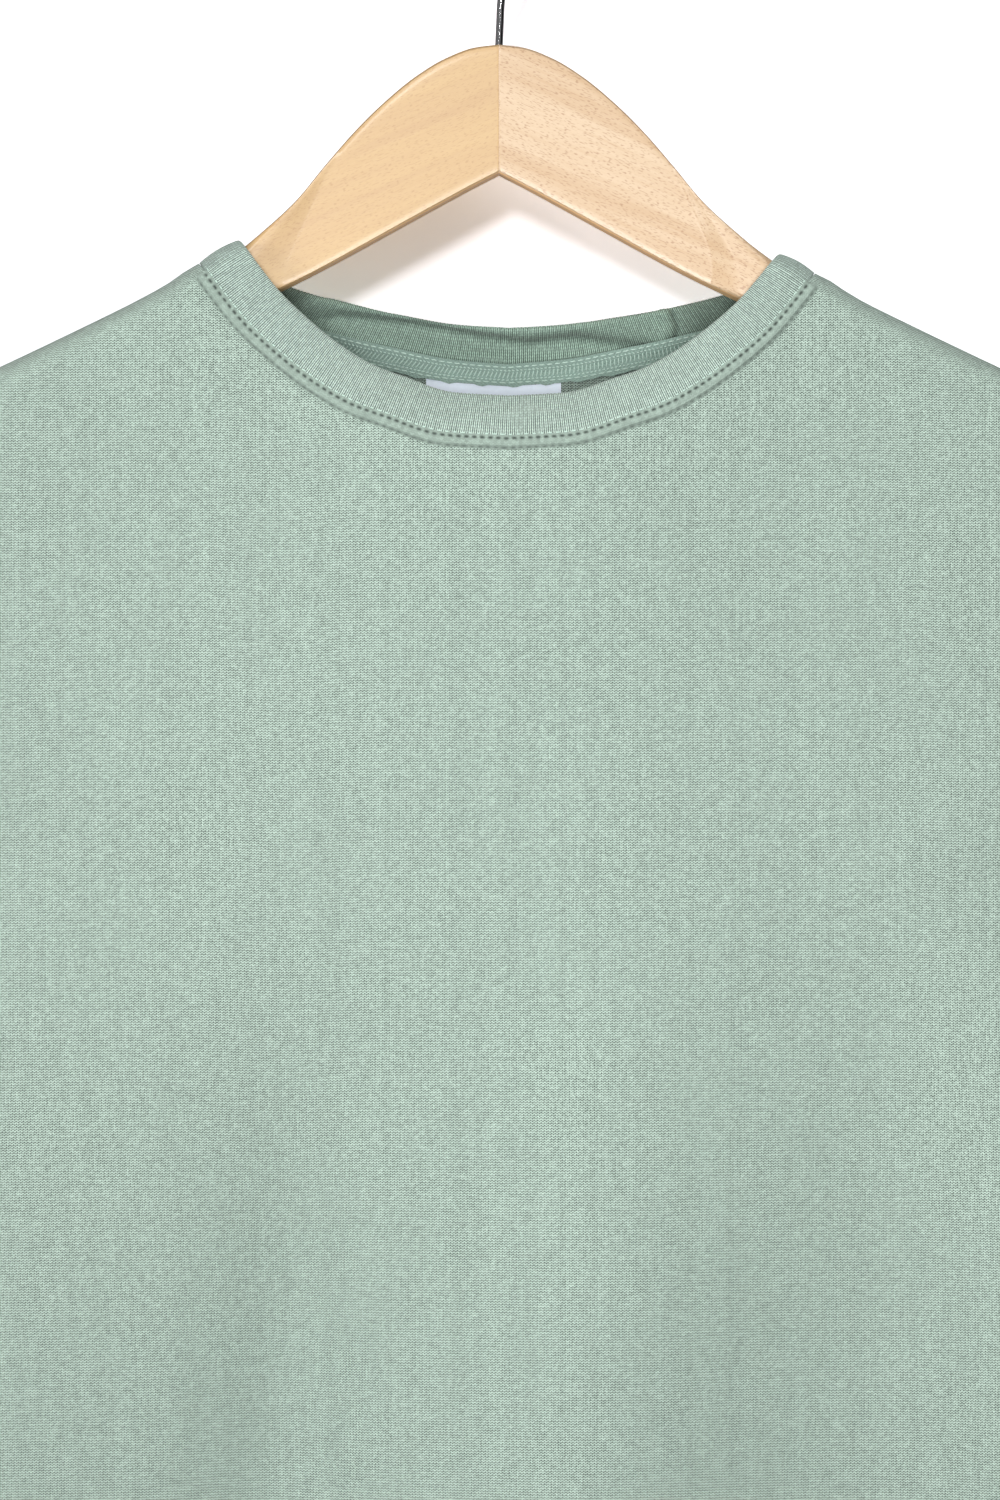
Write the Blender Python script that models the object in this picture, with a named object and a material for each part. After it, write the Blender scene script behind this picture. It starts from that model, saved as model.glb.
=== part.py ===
"""A crew-neck sweatshirt hanging on a flat wooden hanger with a wire hook.

Sizes are metres. +X is the viewer's right, +Y points away from the viewer, +Z is up. The origin is the
inner top of the hook, where a rail would carry it. Heights in the tables are measured from the top of
the wood, which lies WOOD_TOP below the origin.
"""
import math

import bpy
import numpy as np

FRONT = -1.0
BACK = 1.0
LEFT = -1.0
RIGHT = 1.0

# Driving sizes
WOOD_TOP = -0.068
GARMENT_AXIS = 0.0035
WALL = 0.0018
RIB_WALL = 0.0026
SEAM_GAP = 0.0003
HALF_GAP = SEAM_GAP / 2.0
REST_GAP = 0.0007

HANGER_HALF_SPAN = 0.216
HANGER_MITRE_GAP = 0.0003
HANGER_END_ROUND = 0.008
WIRE_RADIUS = 0.0013
HOOK_RADIUS = 0.0183
HOOK_START = math.radians(-50.0)
HOOK_END = math.radians(208.0)

# Shoulder line: doubled rib up to RIB_END, jersey beyond, a thicker spot at the neck seam, a droop at the end
RIB_END = 0.105
RIB_FADE = 0.020
SEAM_BULK = 0.0010
SEAM_BULK_HALF = 0.1065
SEAM_BULK_WIDTH = 0.006
SHOULDER_HALF = 0.238
SHOULDER_ROUND = 0.009
DROOP_START = 0.212
DROOP = 18.0

# Body and sleeves
UNDERARM_Z = -0.395
HEM_SEAM_Z = -0.674
HEM_END_Z = -0.738
SIDE_ROUND = 0.070
UNDERARM_TURN = 0.008
ARMHOLE_STEEP = math.radians(54.0)
ARMHOLE_FADE = 0.35
SLEEVE_ROUND = 0.42
SLEEVE_BACK_FOLDS = 0.8

# Neck: how far the cloth bows off the body below it, and how the seam's wall leans up at the shoulder
NECK_BOW_HALF = 0.098
NECK_BOW_FALL = 0.110
NECK_BOW = {FRONT: 0.0085, BACK: 0.0040}
NECK_LEAN = 0.35
NECK_LEAN_AT_SHOULDER = 1.6
BAND_BULGE = 0.0008

TAPE_RISE = 0.0045
TAPE_FALL = 0.0045
TAPE_REACH = 0.80
TAPE_WALL = 0.0009
LABEL_LEFT = -0.0247
LABEL_RIGHT = 0.0210
LABEL_DROP = 0.036
LABEL_WALL = 0.0006

# Counts of the grids that the pieces are built on
SHOULDER_STEPS = 8
NECK_STEPS = 20
SHOULDER_ROWS = 4
ARMHOLE_STEPS = 13
SIDE_STEPS = 10
BAND_STEPS = 3
HEM_STEPS = 3
SLEEVE_STEPS = 15
CUFF_STEPS = 3
LABEL_COLUMNS = 7
LABEL_ROWS = 5
ARM_SIDES = 14
HOOK_POINTS = 24

# How the columns of a panel spread: half the hem below the neck, and crowding towards the sides
HEM_BELOW_NECK = 0.112
SHOULDER_CROWDING = 1.7
SIDE_CROWDING = 1.25


def table(columns, *rows):
    """A short table: one array for each named column."""
    return {name: np.array(values, dtype=float) for name, values in zip(columns, zip(*rows))}


# The hanger's outline and thickness on one side, from its middle outwards
HANGER = table(
    ("x", "top", "bottom", "half_depth", "squareness"),
    (0.000, 0.0000, -0.0430, 0.0070, 5.0),
    (0.008, -0.0010, -0.0471, 0.0070, 5.0),
    (0.018, -0.0047, -0.0525, 0.0070, 5.0),
    (0.028, -0.0108, -0.0580, 0.0070, 5.0),
    (0.038, -0.0190, -0.0635, 0.0070, 5.0),
    (0.048, -0.0288, -0.0690, 0.0070, 5.0),
    (0.058, -0.0403, -0.0744, 0.0071, 4.5),
    (0.068, -0.0525, -0.0795, 0.0076, 3.6),
    (0.078, -0.0618, -0.0842, 0.0086, 2.8),
    (0.087, -0.0690, -0.0885, 0.0096, 2.4),
    (0.103, -0.0790, -0.0962, 0.0108, 2.2),
    (0.125, -0.0900, -0.1068, 0.0116, 2.2),
    (0.166, -0.1097, -0.1260, 0.0118, 2.2),
    (0.216, -0.1325, -0.1470, 0.0112, 2.2),
    (0.250, -0.1485, -0.1610, 0.0100, 2.2),
)

# The wire's route below the round part of the hook
HOOK_STEM = table(
    ("x", "z"),
    (0.0000, -0.0677),
    (0.0003, -0.0610),
    (0.0006, -0.0543),
    (0.0012, -0.0490),
    (0.0028, -0.0437),
    (0.0058, -0.0385),
    (0.0091, -0.0345),
)

# Half width and depth of the hanging body by height
BODY = table(
    ("z", "half_width", "front", "back"),
    (-0.738, 0.2500, 0.0215, 0.0200),
    (-0.690, 0.2570, 0.0245, 0.0225),
    (-0.674, 0.2620, 0.0255, 0.0235),
    (-0.600, 0.2670, 0.0245, 0.0225),
    (-0.500, 0.2695, 0.0225, 0.0210),
    (-0.395, 0.2700, 0.0205, 0.0190),
    (-0.250, 0.2700, 0.0175, 0.0165),
    (-0.165, 0.2700, 0.0152, 0.0150),
    (-0.060, 0.2700, 0.0148, 0.0148),
)

# Armhole seam on the flat: how far out it lies along its length
ARMHOLE = table(
    ("along", "x"),
    (0.00, 0.2380),
    (0.25, 0.2325),
    (0.50, 0.2330),
    (0.70, 0.2400),
    (0.85, 0.2505),
    (0.95, 0.2620),
    (1.00, 0.2700),
)

# Neck edges: middle, half width and lowest point of each
NECK_EDGES = {
    (FRONT, "seam"): (0.00265, 0.10335, -0.1324),
    (FRONT, "fold"): (0.00335, 0.09035, -0.1174),
    (BACK, "seam"): (0.00265, 0.10335, -0.1084),
    (BACK, "fold"): (0.00335, 0.09035, -0.0935),
}

# How the neck edges rise from the middle out to the shoulder
NECK_RISE = table(
    ("across", "front", "back"),
    (0.00, 0.000, 0.000),
    (0.20, 0.020, 0.045),
    (0.40, 0.130, 0.155),
    (0.50, 0.195, 0.215),
    (0.63, 0.330, 0.310),
    (0.75, 0.495, 0.415),
    (0.85, 0.660, 0.530),
    (0.92, 0.810, 0.670),
    (1.00, 1.000, 1.000),
)

# How far the folded edge of the neckband stands from the hanger's plane
FOLD_DEPTH = table(
    ("across", "front", "back"),
    (0.0, 0.0105, 0.0090),
    (0.5, 0.0118, 0.0105),
    (0.8, 0.0142, 0.0138),
    (1.0, 0.0148, 0.0148),
)

# Sleeve sections from the armhole down to the cuff seam, on the right side
SLEEVE = table(
    ("station", "outer_x", "outer_z", "inner_x", "inner_z", "depth"),
    (0.0, 0.238, -0.157, 0.270, -0.395, 0.018),
    (1.0, 0.275, -0.199, 0.277, -0.407, 0.022),
    (2.0, 0.309, -0.245, 0.283, -0.423, 0.027),
    (3.0, 0.341, -0.294, 0.289, -0.444, 0.030),
    (4.0, 0.370, -0.349, 0.295, -0.470, 0.030),
    (5.0, 0.394, -0.411, 0.302, -0.502, 0.029),
    (6.0, 0.412, -0.481, 0.311, -0.541, 0.028),
    (7.0, 0.424, -0.555, 0.321, -0.589, 0.027),
    (7.6, 0.427, -0.600, 0.327, -0.623, 0.025),
    (8.0, 0.423, -0.626, 0.332, -0.644, 0.021),
)

# Cuff sections from the seam to the end
CUFF = table(
    ("station", "outer_x", "outer_z", "inner_x", "inner_z", "depth"),
    (0.0, 0.423, -0.626, 0.332, -0.644, 0.021),
    (1.0, 0.4225, -0.643, 0.3345, -0.6605, 0.0195),
    (3.0, 0.424, -0.692, 0.338, -0.709, 0.018),
)

FOLD_COLUMNS = ("head_x", "head_z", "foot_x", "foot_z", "half_width", "depth", "head_share")

# Soft folds of each panel: ridges stand out, troughs have a negative depth
FRONT_FOLDS = table(
    FOLD_COLUMNS,
    (0.006, -0.235, 0.000, -0.740, 0.040, 0.0050, 0.1),
    (-0.084, -0.320, -0.092, -0.740, 0.032, -0.0090, 0.0),
    (0.075, -0.290, 0.064, -0.740, 0.034, -0.0080, 0.0),
    (0.144, -0.290, 0.168, -0.740, 0.030, 0.0070, 0.1),
    (-0.040, -0.300, -0.046, -0.740, 0.022, 0.0030, 0.0),
    (-0.140, -0.330, -0.150, -0.740, 0.030, 0.0050, 0.1),
    (-0.205, -0.400, -0.200, -0.740, 0.026, -0.0050, 0.0),
    (0.222, -0.380, 0.226, -0.740, 0.024, -0.0050, 0.0),
    (-0.245, -0.360, -0.165, -0.270, 0.020, -0.0030, 1.0),
    (0.252, -0.365, 0.170, -0.285, 0.022, -0.0030, 1.0),
)
BACK_FOLDS = table(
    FOLD_COLUMNS,
    (0.030, -0.210, 0.022, -0.740, 0.038, 0.0050, 0.1),
    (-0.050, -0.330, -0.060, -0.740, 0.030, -0.0070, 0.0),
    (0.105, -0.300, 0.098, -0.740, 0.034, -0.0080, 0.0),
    (-0.130, -0.280, -0.138, -0.740, 0.034, 0.0060, 0.1),
    (0.175, -0.380, 0.178, -0.740, 0.028, 0.0050, 0.0),
    (-0.210, -0.390, -0.205, -0.740, 0.026, -0.0050, 0.0),
    (-0.245, -0.355, -0.160, -0.275, 0.020, -0.0030, 1.0),
    (0.250, -0.360, 0.168, -0.270, 0.020, -0.0030, 1.0),
)
SLEEVE_FOLDS = table(
    FOLD_COLUMNS,
    (0.268, -0.362, 0.340, -0.300, 0.017, -0.0050, 0.6),
    (0.284, -0.425, 0.372, -0.385, 0.015, -0.0060, 0.8),
    (0.298, -0.478, 0.388, -0.462, 0.014, -0.0050, 0.8),
    (0.330, -0.568, 0.402, -0.592, 0.013, -0.0040, 0.7),
    (0.325, -0.330, 0.378, -0.600, 0.020, 0.0055, 0.3),
)

COLOURS = {
    "jersey": (0.42, 0.52, 0.46, 0.90, 0.0),
    "rib": (0.38, 0.49, 0.43, 0.90, 0.0),
    "tape": (0.30, 0.40, 0.35, 0.85, 0.0),
    "label": (0.86, 0.88, 0.92, 0.60, 0.0),
    "wood": (0.87, 0.64, 0.40, 0.40, 0.0),
    "chrome": (0.78, 0.78, 0.80, 0.12, 1.0),
}


def curve_through(knots, values, at):
    """Smooth curve through a table's rows with no overshoot: a cubic with harmonic-mean slopes."""
    step = np.diff(knots)
    slope = np.diff(values) / step
    before = slope[:-1]
    after = slope[1:]
    same_way = before * after > 0.0
    total = np.where(same_way, before + after, 1.0)
    middle = np.where(same_way, 2.0 * before * after / total, 0.0)
    tangent = np.concatenate((slope[:1], middle, slope[-1:]))
    place = np.clip(at, knots[0], knots[-1])
    row = np.clip(np.searchsorted(knots, place, side="right") - 1, 0, len(step) - 1)
    s = (place - knots[row]) / step[row]
    start = (1.0 + 2.0 * s) * (1.0 - s) ** 2 * values[row]
    end = s * s * (3.0 - 2.0 * s) * values[row + 1]
    lean = s * (1.0 - s) ** 2 * tangent[row] - s * s * (1.0 - s) * tangent[row + 1]
    return start + end + step[row] * lean


def unit(vectors):
    """Vectors of length 1 along the last axis."""
    return vectors / np.linalg.norm(vectors, axis=-1, keepdims=True)


def points(x, y, z):
    """Stack coordinates of any matching shapes into points."""
    return np.stack(np.broadcast_arrays(x, y, z), axis=-1).astype(float)


def hanger_top(x):
    """Height of the wood's upper edge at x."""
    return curve_through(HANGER["x"], HANGER["top"], np.abs(x))


def ridge(x):
    """Height of the cloth's outer face along the shoulder line, which lies on the hanger and droops."""
    step = 0.002
    slope = (hanger_top(np.abs(x) + step) - hanger_top(np.abs(x) - step)) / (2.0 * step)
    beyond_neck = np.clip((np.abs(x) - RIB_END) / RIB_FADE, 0.0, 1.0)
    wall = RIB_WALL + (WALL - RIB_WALL) * beyond_neck
    from_seam = (np.abs(x - GARMENT_AXIS) - SEAM_BULK_HALF) / SEAM_BULK_WIDTH
    wall = wall + SEAM_BULK * np.exp(-(from_seam**2))
    droop = DROOP * np.maximum(np.abs(x) - DROOP_START, 0.0) ** 2
    return hanger_top(x) + (REST_GAP + wall) * np.sqrt(1.0 + slope**2) - droop


def ridge_normal(x):
    """Upward normal of the shoulder line in the hanger's plane."""
    step = 0.001
    slope = (ridge(x + step) - ridge(x - step)) / (2.0 * step)
    return unit(points(-slope, 0.0, 1.0))


def round_angle(drop, radius):
    """Angle reached round a quarter circle after going the given way in from its edge."""
    return np.arccos(1.0 - np.clip(drop / radius, 0.0, 1.0))


def folds(x, z, rows):
    """Sum of soft folds: depth * exp(-(distance from the fold's line / half width)^2), growing down."""
    total = np.zeros(np.broadcast(x, z).shape)
    for values in zip(*(rows[name] for name in FOLD_COLUMNS)):
        head_x, head_z, foot_x, foot_z, half_width, depth, head_share = values
        run_x = foot_x - head_x
        run_z = foot_z - head_z
        along = ((x - head_x) * run_x + (z - head_z) * run_z) / (run_x**2 + run_z**2)
        along = np.clip(along, 0.0, 1.0)
        away = np.hypot(x - head_x - along * run_x, z - head_z - along * run_z)
        swell = head_share + (1.0 - head_share) * along
        total += depth * swell * np.exp(-((away / half_width) ** 2))
    return total


def column_of(side):
    """The name of a side's column in the tables."""
    return "front" if side == FRONT else "back"


def body_depth(x, z, side):
    """Distance of the body's outer face from the hanger's plane at (x, z).

    depth = (table depth + neck bow + folds) * sin(round over the shoulder) * sin(round at the side)
    """
    rows = FRONT_FOLDS if side == FRONT else BACK_FOLDS
    depth = curve_through(BODY["z"], BODY[column_of(side)], z)
    centre, _, low = NECK_EDGES[(side, "seam")]
    bow = np.maximum(1.0 - ((x - centre) / NECK_BOW_HALF) ** 2, 0.0) ** 1.5
    bow = bow * np.exp(-((np.minimum(z - low, 0.0) / NECK_BOW_FALL) ** 2))
    depth = depth + NECK_BOW[side] * bow + folds(x, z, rows)
    over = np.sin(round_angle(ridge(x) - z, SHOULDER_ROUND))
    half_width = curve_through(BODY["z"], BODY["half_width"], z)
    from_side = half_width - np.abs(x - GARMENT_AXIS)
    above = np.maximum(z - UNDERARM_Z, 0.0)
    from_side = np.hypot(np.maximum(from_side, 0.0), above)
    return depth * over * np.sin(round_angle(from_side, SIDE_ROUND))


def body_points(x, z, side):
    """Points on the body's outer face; edges stay half a seam gap off the hanger's plane."""
    depth = np.maximum(body_depth(x, z, side), HALF_GAP)
    return points(x, side * depth, z)


def neck_edge(across, side, edge):
    """Points (x, z) of a neck edge: across runs from -1 at the left shoulder to 1 at the right."""
    centre, half, low = NECK_EDGES[(side, edge)]
    rise = curve_through(NECK_RISE["across"], NECK_RISE[column_of(side)], np.abs(across))
    tip = ridge(centre + half * np.sign(across))
    return centre + half * across, low + (tip - low) * rise


def neck_seam_points(across, side, shift):
    """Points of the neck seam, shifted in the panel's plane: down and out is positive."""
    x, z = neck_edge(across, side, "seam")
    step = 0.01
    inner_x, inner_z = neck_edge(np.clip(across - step, -1.0, 1.0), side, "seam")
    outer_x, outer_z = neck_edge(np.clip(across + step, -1.0, 1.0), side, "seam")
    length = np.hypot(outer_x - inner_x, outer_z - inner_z)
    x = x + shift * (outer_z - inner_z) / length
    z = z - shift * (outer_x - inner_x) / length
    depth = np.where(at_tip(across), 0.0, body_depth(x, z, side))
    return points(x, side * depth, z)


def at_tip(across):
    """True at the neck's two ends, where front and back meet on the shoulder line."""
    return np.isclose(np.abs(across), 1.0)


def shoulder_angle(x, z, across):
    """Angle reached round the shoulder at a place on a neck edge: 0 on the ridge, a right angle below."""
    return np.where(at_tip(across), 0.0, round_angle(ridge(x) - z, SHOULDER_ROUND))


def neck_seam_normals(across, side):
    """Normals shared by both pieces at the neck seam: out of the garment, leaning up."""
    x, z = neck_edge(across, side, "seam")
    angle = shoulder_angle(x, z, across)
    out = points(0.0, side * np.sin(angle), 0.0)
    lean = NECK_LEAN_AT_SHOULDER * np.cos(angle) + NECK_LEAN
    return unit(out + ridge_normal(x) * lean[..., None])


def neck_fold_points(across, side):
    """Points of the neckband's folded upper edge."""
    x, z = neck_edge(across, side, "fold")
    depth = curve_through(FOLD_DEPTH["across"], FOLD_DEPTH[column_of(side)], np.abs(across))
    return points(x, side * depth * np.sin(shoulder_angle(x, z, across)), z)


def armhole_flat(along, hand):
    """Points (x, z) of the armhole seam from the shoulder (0) to the underarm (1)."""
    x = GARMENT_AXIS + hand * curve_through(ARMHOLE["along"], ARMHOLE["x"], along)
    top = ridge(GARMENT_AXIS + hand * SHOULDER_HALF)
    return x, top + (UNDERARM_Z - top) * along


def armhole_axis(along, hand):
    """Direction in which the sleeve leaves the armhole: steeply down at the top, level below."""
    start = np.array((hand * math.cos(ARMHOLE_STEEP), 0.0, -math.sin(ARMHOLE_STEEP)))
    end = np.array((hand, 0.0, 0.0))
    share = np.asarray(along)[..., None]
    return unit(start * (1.0 - share) + end * share)


def loop_normals(loop, axes):
    """Outward normals of a closed loop of points, square to the given axes."""
    tangent = np.roll(loop, -1, axis=0) - np.roll(loop, 1, axis=0)
    normals = unit(np.cross(tangent, axes))
    outward = np.sum(normals * (loop - loop.mean(axis=0)))
    return normals if outward > 0.0 else -normals


def grid_normals(grid, wrap=False):
    """Normals of a grid of points from the differences between its neighbours."""
    down = np.gradient(grid, axis=0)
    if wrap:
        across = np.roll(grid, -1, axis=1) - np.roll(grid, 1, axis=1)
    else:
        across = np.gradient(grid, axis=1)
    return unit(np.cross(down, across))


def armhole_steps():
    """Places from 0 to 1 down the armhole: evenly round the shoulder, then closer at the underarm."""
    length = ridge(SHOULDER_HALF) - UNDERARM_Z
    turn = 0.5 * np.pi * np.arange(SHOULDER_ROWS) / SHOULDER_ROWS
    over = SHOULDER_ROUND * (1.0 - np.cos(turn)) / length
    start = SHOULDER_ROUND / length
    rest = ARMHOLE_STEPS - SHOULDER_ROWS
    below = start + (1.0 - start) * np.sin(0.5 * np.pi * np.arange(rest + 1) / rest)
    return np.concatenate((over, below))


def ring_of(front, back):
    """One closed ring from a front row and a back row that share their end points."""
    return np.concatenate((front, back[-2:0:-1]), axis=0)


def armhole_ring(hand, shift):
    """The armhole seam as a ring from the shoulder down the front and up the back, with normals."""
    along = armhole_steps()
    x, z = armhole_flat(along, hand)
    rows = []
    for side in (FRONT, BACK):
        depth = body_depth(x, z, side)
        depth[[0, -1]] = 0.0
        rows.append(points(x, side * depth, z) + shift * armhole_axis(along, hand))
    ring = ring_of(rows[0], rows[1])
    axes = ring_of(armhole_axis(along, hand), armhole_axis(along, hand))
    return ring, loop_normals(ring, axes)


def panel_columns():
    """Columns of a panel from left to right: the place on the shoulder or neck, and on the hem."""
    from_side = (np.arange(SHOULDER_STEPS) / SHOULDER_STEPS) ** SHOULDER_CROWDING
    neck = -np.cos(np.pi * np.arange(NECK_STEPS + 1) / NECK_STEPS)
    return from_side, neck


def panel_top(side):
    """Upper edge of a panel: shoulder, neck seam, shoulder; points and normals."""
    from_side, neck = panel_columns()
    neck_row = neck_seam_points(neck, side, HALF_GAP)
    neck_row[[0, -1], 1] = side * HALF_GAP
    rows = []
    normals = []
    for hand, corner in ((LEFT, neck_row[0, 0]), (RIGHT, neck_row[-1, 0])):
        start = GARMENT_AXIS + hand * (SHOULDER_HALF - HALF_GAP)
        x = start + (corner - start) * from_side
        rows.append(points(x, side * HALF_GAP, ridge(x)))
        normals.append(ridge_normal(x))
    top = np.concatenate((rows[0], neck_row, rows[1][::-1]))
    top_normals = np.concatenate((normals[0], neck_seam_normals(neck, side), normals[1][::-1]))
    return top, top_normals


def panel(side):
    """Outer grid and normals of the front or the back, from shoulder and neck down to the hem seam."""
    from_side, neck = panel_columns()
    top, top_normals = panel_top(side)
    hem_z = HEM_SEAM_Z + HALF_GAP
    hem_half = curve_through(BODY["z"], BODY["half_width"], np.array(hem_z))
    left = -hem_half + (hem_half - HEM_BELOW_NECK) * from_side
    middle = HEM_BELOW_NECK * np.linspace(-1.0, 1.0, len(neck))
    hem_x = GARMENT_AXIS + np.concatenate((left, middle, -left[::-1]))

    top_z = 0.5 * (top[0, 2] + top[-1, 2])
    underarm = (UNDERARM_Z - top_z) / (hem_z - top_z)
    upper = underarm * armhole_steps()
    lower = underarm + (1.0 - underarm) * (np.arange(1, SIDE_STEPS + 1) / SIDE_STEPS) ** SIDE_CROWDING
    down = np.concatenate((upper, lower))

    x = np.outer(1.0 - down, top[:, 0]) + np.outer(down, hem_x)
    z = np.outer(1.0 - down, top[:, 2]) + np.outer(down, np.full(len(hem_x), hem_z))
    share = (hem_x - hem_x[0]) / (hem_x[-1] - hem_x[0])
    for hand, column, weight in ((LEFT, 0, (1.0 - share) ** 2), (RIGHT, -1, share**2)):
        edge_x, edge_z = panel_side(down, underarm, hand, hem_z)
        x += np.outer(edge_x - x[:, column], weight)
        z += np.outer(edge_z - z[:, column], weight)
    grid = body_points(x, z, side)
    grid[0] = top
    grid[ARMHOLE_STEPS, [0, -1], 1] = side * HALF_GAP

    normals = grid_normals(grid)
    if np.sum(normals[..., 1] * side) < 0.0:
        normals = -normals
    normals[-1, :, 2] = 0.0
    normals = unit(normals)
    normals[0] = top_normals
    for hand, column in ((LEFT, 0), (RIGHT, -1)):
        pin_side_normals(normals, grid, side, hand, column)
    return grid, normals


def panel_side(down, underarm, hand, hem_z):
    """Side edge of a panel (x, z): the armhole seam above the underarm and the side seam below."""
    along = np.clip(down / underarm, 0.0, 1.0)
    x, z = armhole_flat(along, hand)
    below = down > underarm
    z = np.where(below, UNDERARM_Z + (hem_z - UNDERARM_Z) * (down - underarm) / (1.0 - underarm), z)
    half_width = curve_through(BODY["z"], BODY["half_width"], z)
    x = np.where(below, GARMENT_AXIS + hand * half_width, x - hand * HALF_GAP)
    return x, z


def pin_side_normals(normals, grid, side, hand, column):
    """Set the normals along a panel's side edge to those that its neighbours share."""
    _, ring_normals = armhole_ring(hand, 0.0)
    if side == FRONT:
        armhole = ring_normals[: ARMHOLE_STEPS + 1]
    else:
        armhole = np.concatenate((ring_normals[:1], ring_normals[: ARMHOLE_STEPS - 1 : -1]))
    normals[: ARMHOLE_STEPS + 1, column] = armhole
    below = UNDERARM_Z - grid[ARMHOLE_STEPS + 1 :, column, 2]
    turn = 0.5 * np.pi * np.exp(-below / UNDERARM_TURN)
    normals[ARMHOLE_STEPS + 1 :, column] = points(hand * np.cos(turn), 0.0, -np.sin(turn))


def neckband_rows():
    """The neckband's ring at the seam and at the folded edge, with the seam's normals."""
    across = np.cos(np.pi * np.arange(NECK_STEPS + 1) / NECK_STEPS)
    seam = ring_of(*(neck_seam_points(across, side, -HALF_GAP) for side in (FRONT, BACK)))
    normals = ring_of(*(neck_seam_normals(across, side) for side in (FRONT, BACK)))
    fold = ring_of(*(neck_fold_points(across, side) for side in (FRONT, BACK)))
    return seam, normals, fold


def neckband():
    """Outer grid and normals of the neckband: straight lines from seam to fold, bulged a little."""
    seam, seam_normals, fold = neckband_rows()
    share = np.linspace(0.0, 1.0, BAND_STEPS + 1)[:, None, None]
    grid = seam * (1.0 - share) + fold * share
    normals = grid_normals(grid, wrap=True)
    if np.sum(normals[0] * seam_normals) < 0.0:
        normals = -normals
    grid = grid + BAND_BULGE * np.sin(np.pi * share) * normals
    normals[0] = seam_normals
    return grid, normals


def tube_section(rows, station, hand):
    """Front and back rows of a flattened tube's section between its outer and inner edge."""
    outer_x = curve_through(rows["station"], rows["outer_x"], station)
    outer_z = curve_through(rows["station"], rows["outer_z"], station)
    inner_x = curve_through(rows["station"], rows["inner_x"], station)
    inner_z = curve_through(rows["station"], rows["inner_z"], station)
    depth = curve_through(rows["station"], rows["depth"], station)
    share = armhole_steps()
    round_off = (4.0 * share * (1.0 - share)) ** SLEEVE_ROUND
    x = outer_x + (inner_x - outer_x) * share
    z = outer_z + (inner_z - outer_z) * share
    crease = folds(x, z, SLEEVE_FOLDS)
    front = points(GARMENT_AXIS + hand * x, FRONT * (depth + crease) * round_off, z)
    back_depth = depth + SLEEVE_BACK_FOLDS * crease
    back = points(GARMENT_AXIS + hand * x, BACK * back_depth * round_off, z)
    return front, back


def tube_axis(rows, station, hand):
    """Direction down a sleeve or cuff at a station."""
    step = 0.05
    here = []
    for place in (station - step, station + step):
        x = curve_through(rows["station"], rows["outer_x"] + rows["inner_x"], place)
        z = curve_through(rows["station"], rows["outer_z"] + rows["inner_z"], place)
        here.append(np.array((hand * x, 0.0, z)))
    return unit(here[1] - here[0])


def sleeve(hand):
    """Outer grid and normals of a sleeve: rings from the armhole seam to the cuff seam."""
    last = SLEEVE["station"][-1]
    stations = last * (np.arange(SLEEVE_STEPS + 1) / SLEEVE_STEPS)
    ring, ring_normals = armhole_ring(hand, HALF_GAP)
    first = ring_of(*tube_section(SLEEVE, 0.0, hand))
    rings = []
    for station in stations:
        fade = max(1.0 - station / (ARMHOLE_FADE * last), 0.0) ** 1.5
        rings.append(ring_of(*tube_section(SLEEVE, station, hand)) + fade * (ring - first))
    grid = np.array(rings)
    end_axis = tube_axis(SLEEVE, last, hand)
    grid[-1] -= HALF_GAP * end_axis
    normals = tube_normals(grid)
    normals[0] = ring_normals
    normals[-1] = loop_normals(grid[-1], end_axis)
    return grid, normals


def cuff(hand):
    """Outer grid and normals of a cuff."""
    last = CUFF["station"][-1]
    stations = last * (np.arange(CUFF_STEPS + 1) / CUFF_STEPS)
    grid = np.array([ring_of(*tube_section(CUFF, place, hand)) for place in stations])
    axis = tube_axis(SLEEVE, SLEEVE["station"][-1], hand)
    grid[0] += HALF_GAP * axis
    normals = tube_normals(grid)
    normals[0] = loop_normals(grid[0], axis)
    return grid, normals


def hem_band():
    """Outer grid and normals of the hem band, whose upper ring follows the panels' lower edges."""
    front, _ = panel(FRONT)
    x = front[-1, :, 0]
    rings = []
    top = HEM_SEAM_Z - HALF_GAP
    start = curve_through(BODY["z"], BODY["half_width"], np.array(HEM_SEAM_Z + HALF_GAP))
    for z in np.linspace(top, HEM_END_Z, HEM_STEPS + 1):
        half_width = curve_through(BODY["z"], BODY["half_width"], np.array(z))
        row_x = GARMENT_AXIS + (x - GARMENT_AXIS) * half_width / start
        rows = []
        for side in (FRONT, BACK):
            depth = body_depth(row_x, np.full(len(x), z), side)
            depth[[0, -1]] = 0.0
            rows.append(points(row_x, side * depth, z))
        rings.append(ring_of(rows[0], rows[1]))
    grid = np.array(rings)
    normals = tube_normals(grid)
    normals[0] = loop_normals(grid[0], np.array((0.0, 0.0, 1.0)))
    return grid, normals


def tube_normals(grid):
    """Outward normals of a grid of closed rings."""
    normals = grid_normals(grid, wrap=True)
    outward = np.sum(normals * (grid - grid.mean(axis=1, keepdims=True)))
    return normals if outward > 0.0 else -normals


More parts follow.
